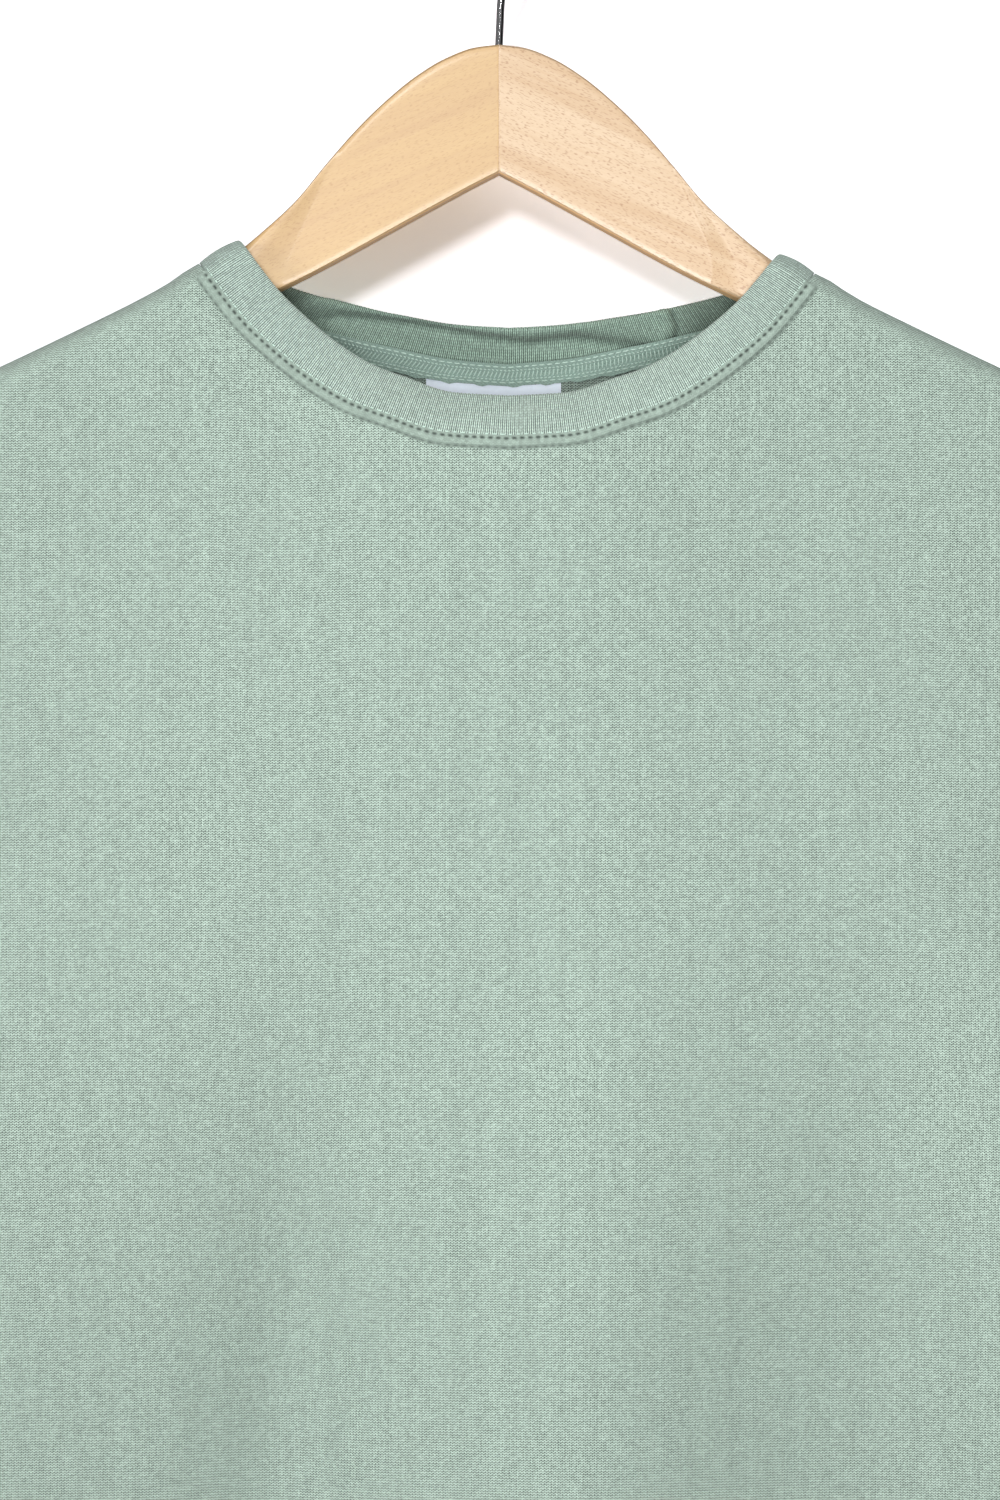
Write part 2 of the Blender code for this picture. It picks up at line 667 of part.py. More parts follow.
def neck_tape():
    """Grids of the tape's two faces over the back neck seam, on the inside of the garment."""
    across = np.linspace(TAPE_REACH, -TAPE_REACH, NECK_STEPS + 1)
    seam = neck_seam_points(across, BACK, 0.0)
    normals = neck_seam_normals(across, BACK)
    fold = neck_fold_points(across, BACK)
    up = unit(fold - seam)
    below = neck_seam_points(across, BACK, TAPE_FALL)
    level = points(0.0, np.full(len(across), BACK), 0.0)
    rows = (
        (seam + TAPE_RISE * up, normals, RIB_WALL + BAND_BULGE),
        (seam, normals, RIB_WALL),
        (below, level, WALL + SEAM_GAP),
    )
    near = []
    far = []
    for place, away, wall in rows:
        near.append(place - (wall + SEAM_GAP) * away)
        far.append(place - (wall + SEAM_GAP + TAPE_WALL) * away)
    return np.array(near), np.array(far)


def label():
    """Grids of the label's two faces, made from the back panel's points moved inwards."""
    x = np.linspace(LABEL_RIGHT, LABEL_LEFT, LABEL_COLUMNS)
    centre, half, _ = NECK_EDGES[(BACK, "seam")]
    _, top = neck_edge((x - centre) / half, BACK, "seam")
    near = []
    far = []
    for drop in np.linspace(0.0, LABEL_DROP, LABEL_ROWS):
        z = top - TAPE_FALL - SEAM_GAP - drop
        face = body_points(x, z, BACK)
        near.append(face - points(0.0, WALL + SEAM_GAP, 0.0))
        far.append(face - points(0.0, WALL + SEAM_GAP + LABEL_WALL, 0.0))
    return np.array(near), np.array(far)


def quads(first, second, third, fourth):
    """Faces from four arrays of vertex numbers."""
    return np.stack((first.ravel(), second.ravel(), third.ravel(), fourth.ravel()), axis=-1)


def rim_faces(outer, inner, forward):
    """Faces that close an edge; forward says where a face's diagonal starts at its first outer point.

    Two pieces that meet at a seam split their rims along the same diagonals, so their gap stays even.
    """
    ahead = quads(outer[:-1], outer[1:], inner[1:], inner[:-1])
    behind = quads(outer[1:], inner[1:], inner[:-1], outer[:-1])
    return np.where(forward[:, None], ahead, behind)


def wall_faces(rows, columns, wrap):
    """Faces of a wall between an outer and an inner grid, with its open edges closed."""
    outer = np.arange(rows * columns).reshape(rows, columns)
    if wrap:
        outer = np.concatenate((outer, outer[:, :1]), axis=1)
    inner = outer + rows * columns
    edges = outer.shape[1] - 1
    first_half = np.arange(edges) < edges // 2 if wrap else np.zeros(edges, dtype=bool)
    last_half = first_half if wrap else np.ones(edges, dtype=bool)
    faces = [
        quads(outer[:-1, :-1], outer[1:, :-1], outer[1:, 1:], outer[:-1, 1:]),
        quads(inner[:-1, :-1], inner[:-1, 1:], inner[1:, 1:], inner[1:, :-1]),
        rim_faces(outer[0], inner[0], first_half),
        rim_faces(outer[-1, ::-1], inner[-1, ::-1], ~last_half[::-1]),
    ]
    if not wrap:
        downward = np.ones(rows - 1, dtype=bool)
        faces.append(rim_faces(outer[::-1, 0], inner[::-1, 0], ~downward))
        faces.append(rim_faces(outer[:, -1], inner[:, -1], downward))
    return np.concatenate(faces)


def turned_outwards(vertices, faces):
    """Faces turned so that the solid's volume is positive; each keeps its first corner."""
    corners = vertices[faces[:, 0]]
    volume = 0.0
    for second, third in ((1, 2), (2, 3)):
        around = np.cross(vertices[faces[:, second]], vertices[faces[:, third]])
        volume += np.sum(corners * around)
    return faces if volume > 0.0 else faces[:, [0, 3, 2, 1]]


def new_object(name, vertices, faces, finish, parent):
    """A named, smooth-shaded object from vertices and faces."""
    mesh = bpy.data.meshes.new(name)
    mesh.from_pydata(vertices.tolist(), [], faces)
    mesh.shade_smooth()
    mesh.set_sharp_from_angle(angle=math.radians(40.0))
    obj = bpy.data.objects.new(name, mesh)
    bpy.context.collection.objects.link(obj)
    obj.parent = parent
    mesh.materials.append(material(name, finish))
    return obj


def material(name, finish):
    """A plain material of the piece's own in one of the named finishes."""
    red, green, blue, roughness, metallic = COLOURS[finish]
    made = bpy.data.materials.new(name + "_" + finish)
    made.use_nodes = True
    shader = made.node_tree.nodes["Principled BSDF"]
    shader.inputs["Base Color"].default_value = (red, green, blue, 1.0)
    shader.inputs["Roughness"].default_value = roughness
    shader.inputs["Metallic"].default_value = metallic
    return made


def cloth_piece(name, outer, inner, finish, parent, wrap=False):
    """A cloth wall between two grids as one object."""
    rows, columns = outer.shape[:2]
    vertices = np.concatenate((outer.reshape(-1, 3), inner.reshape(-1, 3)))
    faces = turned_outwards(vertices, wall_faces(rows, columns, wrap))
    return new_object(name, vertices, faces.tolist(), finish, parent)


def thick_piece(name, grid, normals, wall, finish, parent, wrap=False):
    """A cloth wall of even thickness inside a grid of outer points."""
    return cloth_piece(name, grid, grid - wall * normals, finish, parent, wrap)


def hanger_section(x, hand, shrink):
    """One closed section of the wood: a rounded outline between its upper and lower edge."""
    top = hanger_top(x)
    bottom = curve_through(HANGER["x"], HANGER["bottom"], x)
    half_depth = curve_through(HANGER["x"], HANGER["half_depth"], x)
    power = 2.0 / curve_through(HANGER["x"], HANGER["squareness"], x)
    angle = 2.0 * np.pi * (np.arange(ARM_SIDES) + 0.5) / ARM_SIDES
    across = np.sign(np.cos(angle)) * np.abs(np.cos(angle)) ** power
    upward = np.sign(np.sin(angle)) * np.abs(np.sin(angle)) ** power
    y = half_depth * shrink * across
    z = 0.5 * (top + bottom) + 0.5 * (top - bottom) * shrink * upward
    return points(hand * x, y, z)


def hanger_arm(hand):
    """Vertices and faces of one wooden arm, from the mitre to its rounded end."""
    start = 0.5 * HANGER_MITRE_GAP
    round_start = HANGER_HALF_SPAN - HANGER_END_ROUND
    places = [start] + [x for x in HANGER["x"][1:] if x < round_start]
    sections = [hanger_section(np.array(x), hand, 1.0) for x in places]
    for turn in (0.0, 0.35, 0.7, 0.93):
        x = round_start + HANGER_END_ROUND * turn
        sections.append(hanger_section(np.array(x), hand, math.sqrt(1.0 - turn**2)))
    count = len(sections)
    number = np.arange(count * ARM_SIDES).reshape(count, ARM_SIDES)
    closed = np.concatenate((number, number[:, :1]), axis=1)
    vertices = np.concatenate(sections)
    sides = quads(closed[:-1, :-1], closed[1:, :-1], closed[1:, 1:], closed[:-1, 1:])
    faces = sides.tolist() + [number[0].tolist(), number[-1, ::-1].tolist()]
    if hand == RIGHT:
        faces = [face[::-1] for face in faces]
    return vertices, faces


def hook():
    """The wire: a straight stem that leans right, then most of a circle over the origin."""
    angle = np.linspace(HOOK_START, HOOK_END, HOOK_POINTS)
    centre_z = WIRE_RADIUS - HOOK_RADIUS
    round_x = HOOK_RADIUS * np.cos(angle)
    round_z = centre_z + HOOK_RADIUS * np.sin(angle)
    route_x = np.concatenate((HOOK_STEM["x"], round_x))
    route_z = np.concatenate((HOOK_STEM["z"], round_z))
    curve = bpy.data.curves.new("hook", "CURVE")
    curve.dimensions = "3D"
    curve.bevel_depth = WIRE_RADIUS
    curve.bevel_resolution = 2
    curve.use_fill_caps = True
    spline = curve.splines.new("POLY")
    spline.points.add(len(route_x) - 1)
    for place, x, z in zip(spline.points, route_x, route_z):
        place.co = (x, 0.0, z, 1.0)
    obj = bpy.data.objects.new("hook", curve)
    bpy.context.collection.objects.link(obj)
    curve.materials.append(material("hook", "chrome"))
    return obj


def main():
    """Clear the scene and build the garment and its hanger."""
    for old in list(bpy.data.objects):
        bpy.data.objects.remove(old, do_unlink=True)
    wood_top = bpy.data.objects.new("wood_top", None)
    bpy.context.collection.objects.link(wood_top)
    wood_top.location = (0.0, 0.0, WOOD_TOP)

    for name, side in (("front", FRONT), ("back", BACK)):
        grid, normals = panel(side)
        thick_piece(name, grid, normals, WALL, "jersey", wood_top)
    for hand, word in ((LEFT, "left"), (RIGHT, "right")):
        grid, normals = sleeve(hand)
        thick_piece("sleeve_" + word, grid, normals, WALL, "jersey", wood_top, wrap=True)
        grid, normals = cuff(hand)
        thick_piece("cuff_" + word, grid, normals, RIB_WALL, "rib", wood_top, wrap=True)
        vertices, faces = hanger_arm(hand)
        new_object("hanger_arm_" + word, vertices, faces, "wood", wood_top)
    grid, normals = hem_band()
    thick_piece("hem_band", grid, normals, RIB_WALL, "rib", wood_top, wrap=True)
    grid, normals = neckband()
    thick_piece("neckband", grid, normals, RIB_WALL, "rib", wood_top, wrap=True)
    cloth_piece("neck_tape", *neck_tape(), "tape", wood_top)
    cloth_piece("label", *label(), "label", wood_top)
    hook()
    bpy.context.view_layer.update()


main()
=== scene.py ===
"""Sweatshirt on a wooden hanger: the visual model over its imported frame.

Sizes are metres. +X is the viewer's right, +Y points away from the viewer, +Z is up. The shape
functions measure heights from the top of the wood, WOOD_TOP below the origin; finished pieces are
moved to world heights when their mesh is made.
"""
import math

import bpy
import numpy as np
from bpy.props import FloatProperty, FloatVectorProperty, PointerProperty
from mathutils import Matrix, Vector


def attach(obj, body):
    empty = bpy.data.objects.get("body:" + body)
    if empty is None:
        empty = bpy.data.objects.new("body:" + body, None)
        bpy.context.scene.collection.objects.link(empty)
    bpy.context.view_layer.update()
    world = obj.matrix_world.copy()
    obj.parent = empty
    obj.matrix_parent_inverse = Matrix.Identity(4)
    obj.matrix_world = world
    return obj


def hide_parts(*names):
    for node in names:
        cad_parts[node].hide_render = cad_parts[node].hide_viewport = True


bl_info = {
    "name": "Sweatshirt on a hanger",
    "version": (1, 0, 0),
    "blender": (4, 5, 0),
    "location": "View3D > Sidebar > Sweatshirt",
    "description": "Builds a crew-neck sweatshirt of jersey and rib on a beech hanger",
    "category": "Add Mesh",
}

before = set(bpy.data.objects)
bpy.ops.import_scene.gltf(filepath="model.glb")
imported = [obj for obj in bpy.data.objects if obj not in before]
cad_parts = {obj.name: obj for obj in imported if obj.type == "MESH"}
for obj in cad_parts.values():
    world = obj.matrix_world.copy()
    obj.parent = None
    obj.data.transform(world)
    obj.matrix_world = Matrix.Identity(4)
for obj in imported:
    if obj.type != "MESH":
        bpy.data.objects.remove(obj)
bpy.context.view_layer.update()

FRONT = -1.0
BACK = 1.0
LEFT = -1.0
RIGHT = 1.0

# Driving sizes
WOOD_TOP = -0.068
GARMENT_AXIS = 0.0035
WALL = 0.0018
RIB_WALL = 0.0026
SEAM_GAP = 0.0003
HALF_GAP = SEAM_GAP / 2.0
REST_GAP = 0.0007

HANGER_HALF_SPAN = 0.216
HANGER_END_ROUND = 0.008
WIRE_RADIUS = 0.0013
HOOK_RADIUS = 0.0183
HOOK_START = math.radians(-50.0)
HOOK_END = math.radians(208.0)

# Shoulder line: doubled rib up to RIB_END, jersey beyond, a bulk at the neck seam, a droop at the end
RIB_END = 0.105
RIB_FADE = 0.020
SEAM_BULK = 0.0010
SEAM_BULK_HALF = 0.1065
SEAM_BULK_WIDTH = 0.006
SHOULDER_HALF = 0.238
SHOULDER_ROUND = 0.009
DROOP_START = 0.212
DROOP = 18.0

# Body and sleeves
UNDERARM_Z = -0.395
HEM_SEAM_Z = -0.674
HEM_END_Z = -0.738
SIDE_ROUND = 0.070
UNDERARM_TURN = 0.008
ARMHOLE_STEEP = math.radians(54.0)
ARMHOLE_FADE = 0.35
SLEEVE_ROUND = 0.42
SLEEVE_BACK_FOLDS = 0.8

# Neck: how far the cloth bows off the body below it, and how the seam's wall leans up at the shoulder
NECK_BOW_HALF = 0.098
NECK_BOW_FALL = 0.110
NECK_BOW = {FRONT: 0.0085, BACK: 0.0040}
NECK_LEAN = 0.35
NECK_LEAN_AT_SHOULDER = 1.6
BAND_BULGE = 0.0008

TAPE_RISE = 0.0045
TAPE_FALL = 0.0045
TAPE_REACH = 0.80
TAPE_WALL = 0.0009
LABEL_LEFT = -0.0247
LABEL_RIGHT = 0.0210
LABEL_DROP = 0.036
LABEL_WALL = 0.0006

# The flattened seam below the front neckband, measured down from the neck seam
STRIP_REACH = 0.985
STRIP_TOP = -0.0012
STRIP_END = 0.0046
STRIP_LIFT = 0.00036
STRIP_SINK = 0.0004
STRIP_EDGE = 0.0006
STRIP_TAPER = 0.02
STRIP_WALL = 0.0009
RIDGE_TOP = 0.0009
RIDGE_END = 0.0034
RIDGE_RISE = 0.0007
RIDGE_FALL = 0.0006
RIDGE_HEIGHT = 0.00044
STITCH_PULL = 0.25
GROOVE_DROP = 0.0037
GROOVE_HALF = 0.0003
GROOVE_DEPTH = 0.00030
HOLE_DROP = 0.0005
HOLE_HALF_LENGTH = 0.00082
HOLE_HALF_HEIGHT = 0.00050
HOLE_DEPTH = 0.00031
NEEDLE_DASH_HALF = 0.0006
NEEDLE_RISE = 0.0010
NEEDLE_LIFT = 0.00040
THREAD_RADIUS = 0.00024
LOOPER_RADIUS = 0.00022
LOOPER_PITCH = 0.0014
LOOPER_DASH = 0.0019
LOOPER_DASH_PITCH = 0.0027

# Across the wood: the milled middle is nearly square in section, the full arm round
FLAT_POWER = 20.0
ROUND_POWER = 2.6
POWER_START = 0.062
POWER_RUN = 0.034
SWELL_RUN = {LEFT: 0.026, RIGHT: 0.011}
GRAIN_TURN = math.radians(24.0)

# Where the camera's line of sight passes
CAMERA_X = 0.00033
CAMERA_Z = -0.30433

# Counts of the grids that the pieces are built on
RIB_STEPS = 6
SHOULDER_STEPS = 46
NECK_STEPS = 104
SHOULDER_ROWS = 8
ARMHOLE_STEPS = 90
SIDE_STEPS = 100
BAND_ROWS = 18
BAND_FOLD_ROWS = 4
TAPE_ROWS = 25
STRIP_ROWS = 24
STRIP_PITCH = 0.00033
HEM_STEPS = 26
SLEEVE_STEPS = 130
CUFF_STEPS = 28
LABEL_COLUMNS = 60
LABEL_ROWS = 44
ARM_TALL_STEPS = 40
ARM_DEEP_STEPS = 14
WIRE_SIDES = 24
HOOK_STEPS = 150
STEM_STEPS = 50
CAP_STEPS = 5

# How the columns of a panel spread: half the hem below the neck, and crowding towards the sides
HEM_BELOW_NECK = 0.112
SHOULDER_CROWDING = 1.7
SIDE_CROWDING = 1.25


def table(columns, *rows):
    """A short table: one array for each named column."""
    return {name: np.array(values, dtype=float) for name, values in zip(columns, zip(*rows))}


# The hanger's outline on one side, from its middle outwards
HANGER = table(
    ("x", "top", "bottom"),
    (0.000, 0.0000, -0.0430),
    (0.008, -0.0010, -0.0471),
    (0.018, -0.0047, -0.0525),
    (0.028, -0.0108, -0.0580),
    (0.038, -0.0190, -0.0635),
    (0.048, -0.0288, -0.0690),
    (0.058, -0.0403, -0.0744),
    (0.068, -0.0525, -0.0795),
    (0.078, -0.0618, -0.0842),
    (0.087, -0.0690, -0.0885),
    (0.103, -0.0790, -0.0962),
    (0.125, -0.0900, -0.1068),
    (0.166, -0.1097, -0.1260),
    (0.216, -0.1325, -0.1470),
    (0.250, -0.1485, -0.1610),
)

# The wire's route below the round part of the hook
HOOK_STEM = table(
    ("x", "z"),
    (0.0000, -0.0677),
    (0.0003, -0.0610),
    (0.0006, -0.0543),
    (0.0012, -0.0490),
    (0.0028, -0.0437),
    (0.0058, -0.0385),
    (0.0091, -0.0345),
)

# Half width and depth of the hanging body by height
BODY = table(
    ("z", "half_width", "front", "back"),
    (-0.738, 0.2500, 0.0215, 0.0200),
    (-0.690, 0.2570, 0.0245, 0.0225),
    (-0.674, 0.2620, 0.0255, 0.0235),
    (-0.600, 0.2670, 0.0245, 0.0225),
    (-0.500, 0.2695, 0.0225, 0.0210),
    (-0.395, 0.2700, 0.0205, 0.0190),
    (-0.250, 0.2700, 0.0175, 0.0165),
    (-0.165, 0.2700, 0.0152, 0.0150),
    (-0.060, 0.2700, 0.0148, 0.0148),
)

# Armhole seam on the flat: how far out it lies along its length
ARMHOLE = table(
    ("along", "x"),
    (0.00, 0.2380),
    (0.25, 0.2325),
    (0.50, 0.2330),
    (0.70, 0.2400),
    (0.85, 0.2505),
    (0.95, 0.2620),
    (1.00, 0.2700),
)

# Neck edges: middle, half width and lowest point of each
NECK_EDGES = {
    (FRONT, "seam"): (0.00265, 0.10335, -0.1324),
    (FRONT, "fold"): (0.00335, 0.09035, -0.1174),
    (BACK, "seam"): (0.00265, 0.10335, -0.1084),
    (BACK, "fold"): (0.00335, 0.09035, -0.0935),
}

# How the neck edges rise from the middle out to the shoulder
NECK_RISE = table(
    ("across", "front", "back"),
    (0.00, 0.000, 0.000),
    (0.20, 0.020, 0.045),
    (0.40, 0.130, 0.155),
    (0.50, 0.195, 0.215),
    (0.63, 0.330, 0.310),
    (0.75, 0.495, 0.415),
    (0.85, 0.660, 0.530),
    (0.92, 0.810, 0.670),
    (1.00, 1.000, 1.000),
)

# How far the folded edge of the neckband stands from the hanger's plane
FOLD_DEPTH = table(
    ("across", "front", "back"),
    (0.0, 0.0105, 0.0090),
    (0.5, 0.0118, 0.0105),
    (0.8, 0.0142, 0.0138),
    (1.0, 0.0148, 0.0148),
)

TUBE_COLUMNS = ("station", "outer_x", "outer_z", "inner_x", "inner_z", "depth")

# Sleeve sections from the armhole down to the cuff seam, on the right side
SLEEVE = table(
    TUBE_COLUMNS,
    (0.0, 0.238, -0.157, 0.270, -0.395, 0.018),
    (1.0, 0.275, -0.199, 0.277, -0.407, 0.022),
    (2.0, 0.309, -0.245, 0.283, -0.423, 0.027),
    (3.0, 0.341, -0.294, 0.289, -0.444, 0.030),
    (4.0, 0.370, -0.349, 0.295, -0.470, 0.030),
    (5.0, 0.394, -0.411, 0.302, -0.502, 0.029),
    (6.0, 0.412, -0.481, 0.311, -0.541, 0.028),
    (7.0, 0.424, -0.555, 0.321, -0.589, 0.027),
    (7.6, 0.427, -0.600, 0.327, -0.623, 0.025),
    (8.0, 0.423, -0.626, 0.332, -0.644, 0.021),
)

# Cuff sections from the seam to the end
CUFF = table(
    TUBE_COLUMNS,
    (0.0, 0.423, -0.626, 0.332, -0.644, 0.021),
    (1.0, 0.4225, -0.643, 0.3345, -0.6605, 0.0195),
    (3.0, 0.424, -0.692, 0.338, -0.709, 0.018),
)

FOLD_COLUMNS = ("head_x", "head_z", "foot_x", "foot_z", "half_width", "depth", "head_share")

# Soft folds of each panel: ridges stand out, troughs have a negative depth
FRONT_FOLDS = table(
    FOLD_COLUMNS,
    (0.046, -0.195, 0.020, -0.672, 0.044, 0.0110, 0.15),
    (-0.066, -0.287, -0.079, -0.672, 0.025, -0.0110, 0.0),
    (-0.082, -0.302, -0.096, -0.672, 0.048, -0.0070, 0.0),
    (0.150, -0.235, 0.100, -0.672, 0.042, -0.0055, 0.0),
    (0.148, -0.222, 0.208, -0.672, 0.030, 0.0130, 0.0),
    (-0.030, -0.362, -0.042, -0.672, 0.012, 0.0010, 0.0),
    (-0.196, -0.257, -0.200, -0.672, 0.040, 0.0050, 0.10),
    (-0.205, -0.400, -0.200, -0.740, 0.026, -0.0050, 0.0),
    (0.222, -0.380, 0.226, -0.740, 0.024, -0.0050, 0.0),
    (-0.245, -0.360, -0.165, -0.270, 0.020, -0.0030, 1.0),
    (0.252, -0.365, 0.170, -0.285, 0.022, -0.0030, 1.0),
)
BACK_FOLDS = table(
    FOLD_COLUMNS,
    (0.030, -0.210, 0.022, -0.740, 0.038, 0.0050, 0.1),
    (-0.050, -0.330, -0.060, -0.740, 0.030, -0.0070, 0.0),
    (0.105, -0.300, 0.098, -0.740, 0.034, -0.0080, 0.0),
    (-0.130, -0.280, -0.138, -0.740, 0.034, 0.0060, 0.1),
    (0.175, -0.380, 0.178, -0.740, 0.028, 0.0050, 0.0),
    (-0.210, -0.390, -0.205, -0.740, 0.026, -0.0050, 0.0),
    (-0.245, -0.355, -0.160, -0.275, 0.020, -0.0030, 1.0),
    (0.250, -0.360, 0.168, -0.270, 0.020, -0.0030, 1.0),
)
SLEEVE_FOLDS = table(
    FOLD_COLUMNS,
    (0.268, -0.362, 0.340, -0.300, 0.017, -0.0050, 0.6),
    (0.284, -0.425, 0.372, -0.385, 0.015, -0.0060, 0.8),
    (0.298, -0.478, 0.388, -0.462, 0.014, -0.0050, 0.8),
    (0.330, -0.568, 0.402, -0.592, 0.013, -0.0040, 0.7),
    (0.325, -0.330, 0.378, -0.600, 0.020, 0.0055, 0.3),
)

# The soft crease inside the back neckband from left to right, and its join seam from the top: x and z
BACK_CREASE = ((-0.0535, -0.0899), (-0.0266, -0.0932), (-0.0064, -0.0973), (0.0097, -0.0996),
               (0.0259, -0.0976), (0.0420, -0.0996), (0.0542, -0.1006), (0.0599, -0.0990))
BAND_JOIN = ((0.0579, -0.0870), (0.0606, -0.0934), (0.0599, -0.0967), (0.0579, -0.1000))

CREASE_DEPTH = 0.0015
CREASE_SWELL = 0.0008
JOIN_HALF = 0.0009
JOIN_DEPTH = 0.0009
JOIN_PUCKER = 0.0006

# Painted shade: how much darker the band's inner face, its crease and its join are, as shares
INNER_SHADE = 0.16
CREASE_SHADE = 0.33
JOIN_SHADE = 0.18

# The flat milled middle of the wood, the full arm beyond it, and the crease between them: how far out
# it lies at each height of the section, from the lower edge (-1) to the upper one (1)
FLAT_HALF_DEPTH = 0.0070
ARM_SWELL = table(
    ("x", "half_depth"),
    (0.000, 0.0078),
    (0.050, 0.0081),
    (0.070, 0.0090),
    (0.090, 0.0100),
    (0.110, 0.0110),
    (0.166, 0.0118),
    (0.216, 0.0112),
)
CREASE = table(
    ("height", "left", "right"),
    (-1.00, 0.0725, 0.0710),
    (-0.50, 0.0712, 0.0712),
    (0.00, 0.0675, 0.0700),
    (0.40, 0.0630, 0.0665),
    (0.75, 0.0575, 0.0615),
    (1.00, 0.0520, 0.0570),
)


def curve_through(knots, values, at):
    """Smooth curve through a table's rows with no overshoot: a cubic with harmonic-mean slopes."""
    step = np.diff(knots)
    slope = np.diff(values) / step
    before = slope[:-1]
    after = slope[1:]
    same_way = before * after > 0.0
    total = np.where(same_way, before + after, 1.0)
    middle = np.where(same_way, 2.0 * before * after / total, 0.0)
    tangent = np.concatenate((slope[:1], middle, slope[-1:]))
    place = np.clip(at, knots[0], knots[-1])
    row = np.clip(np.searchsorted(knots, place, side="right") - 1, 0, len(step) - 1)
    s = (place - knots[row]) / step[row]
    start = (1.0 + 2.0 * s) * (1.0 - s) ** 2 * values[row]
    end = s * s * (3.0 - 2.0 * s) * values[row + 1]
    lean = s * (1.0 - s) ** 2 * tangent[row] - s * s * (1.0 - s) * tangent[row + 1]
    return start + end + step[row] * lean


def through(rows, name, at):
    """Smooth curve through one column of a table over the table's first column."""
    return curve_through(next(iter(rows.values())), rows[name], at)


def unit(vectors):
    """Vectors of length 1 along the last axis."""
    return vectors / np.linalg.norm(vectors, axis=-1, keepdims=True)


def length_along(row):
    """Length along a row of points, from 0 at its first."""
    return np.concatenate(([0.0], np.cumsum(np.linalg.norm(np.diff(row, axis=0), axis=1))))


def points(x, y, z):
    """Stack coordinates of any matching shapes into points."""
    return np.stack(np.broadcast_arrays(x, y, z), axis=-1).astype(float)


def ramp(value, run):
    """Straight step from 0 to 1 as the value goes from 0 to the run."""
    return np.clip(value / run, 0.0, 1.0)


def smooth(share):
    """Smooth step from 0 to 1 as the share goes from 0 to 1."""
    share = np.clip(share, 0.0, 1.0)
    return share * share * (3.0 - 2.0 * share)


def bell(distance, half_width):
    """exp(-(distance / half width)^2)."""
    return np.exp(-((distance / half_width) ** 2))


def hanger_top(x):
    """Height of the wood's upper edge at x."""
    return through(HANGER, "top", np.abs(x))


def ridge(x):
    """Height of the cloth's outer face along the shoulder line, which lies on the hanger and droops."""
    step = 0.002
    slope = (hanger_top(np.abs(x) + step) - hanger_top(np.abs(x) - step)) / (2.0 * step)
    beyond_neck = ramp(np.abs(x) - RIB_END, RIB_FADE)
    wall = RIB_WALL + (WALL - RIB_WALL) * beyond_neck
    wall = wall + SEAM_BULK * bell(np.abs(x - GARMENT_AXIS) - SEAM_BULK_HALF, SEAM_BULK_WIDTH)
    droop = DROOP * np.maximum(np.abs(x) - DROOP_START, 0.0) ** 2
    return hanger_top(x) + (REST_GAP + wall) * np.sqrt(1.0 + slope**2) - droop


def ridge_normal(x):
    """Upward normal of the shoulder line in the hanger's plane."""
    step = 0.001
    slope = (ridge(x + step) - ridge(x - step)) / (2.0 * step)
    return unit(points(-slope, 0.0, 1.0))


def round_angle(drop, radius):
    """Angle reached round a quarter circle after going the given way in from its edge."""
    return np.arccos(1.0 - ramp(drop, radius))


def folds(x, z, rows):
    """Sum of soft folds: depth * exp(-(distance from the fold's line / half width)^2).

    Each grows smoothly down its line, and has its full depth from half way on.
    """
    total = np.zeros(np.broadcast(x, z).shape)
    for values in zip(*(rows[name] for name in FOLD_COLUMNS)):
        head_x, head_z, foot_x, foot_z, half_width, depth, head_share = values
        run_x = foot_x - head_x
        run_z = foot_z - head_z
        along = ((x - head_x) * run_x + (z - head_z) * run_z) / (run_x**2 + run_z**2)
        along = np.clip(along, 0.0, 1.0)
        away = np.hypot(x - head_x - along * run_x, z - head_z - along * run_z)
        swell = head_share + (1.0 - head_share) * smooth(2.0 * along)
        total += depth * swell * bell(away, half_width)
    return total


def column_of(side):
    """The name of a side's column in the tables."""
    return "front" if side == FRONT else "back"


def body_depth(x, z, side):
    """Distance of the body's outer face from the hanger's plane at (x, z).

    depth = (table depth + neck bow + folds) * sin(round over the shoulder) * sin(round at the side)
    """
    rows = FRONT_FOLDS if side == FRONT else BACK_FOLDS
    depth = through(BODY, column_of(side), z)
    centre, _, low = NECK_EDGES[(side, "seam")]
    bow = np.maximum(1.0 - ((x - centre) / NECK_BOW_HALF) ** 2, 0.0) ** 1.5
    bow = bow * bell(np.minimum(z - low, 0.0), NECK_BOW_FALL)
    depth = depth + NECK_BOW[side] * bow + folds(x, z, rows)
    over = np.sin(round_angle(ridge(x) - z, SHOULDER_ROUND))
    half_width = through(BODY, "half_width", z)
    from_side = half_width - np.abs(x - GARMENT_AXIS)
    above = np.maximum(z - UNDERARM_Z, 0.0)
    from_side = np.hypot(np.maximum(from_side, 0.0), above)
    return depth * over * np.sin(round_angle(from_side, SIDE_ROUND))


def body_points(x, z, side):
    """Points on the body's outer face; edges stay half a seam gap off the hanger's plane."""
    depth = np.maximum(body_depth(x, z, side), HALF_GAP)
    return points(x, side * depth, z)


def neck_edge(across, side, edge):
    """Points (x, z) of a neck edge: across runs from -1 at the left shoulder to 1 at the right."""
    centre, half, low = NECK_EDGES[(side, edge)]
    rise = through(NECK_RISE, column_of(side), np.abs(across))
    tip = ridge(centre + half * np.sign(across))
    return centre + half * across, low + (tip - low) * rise


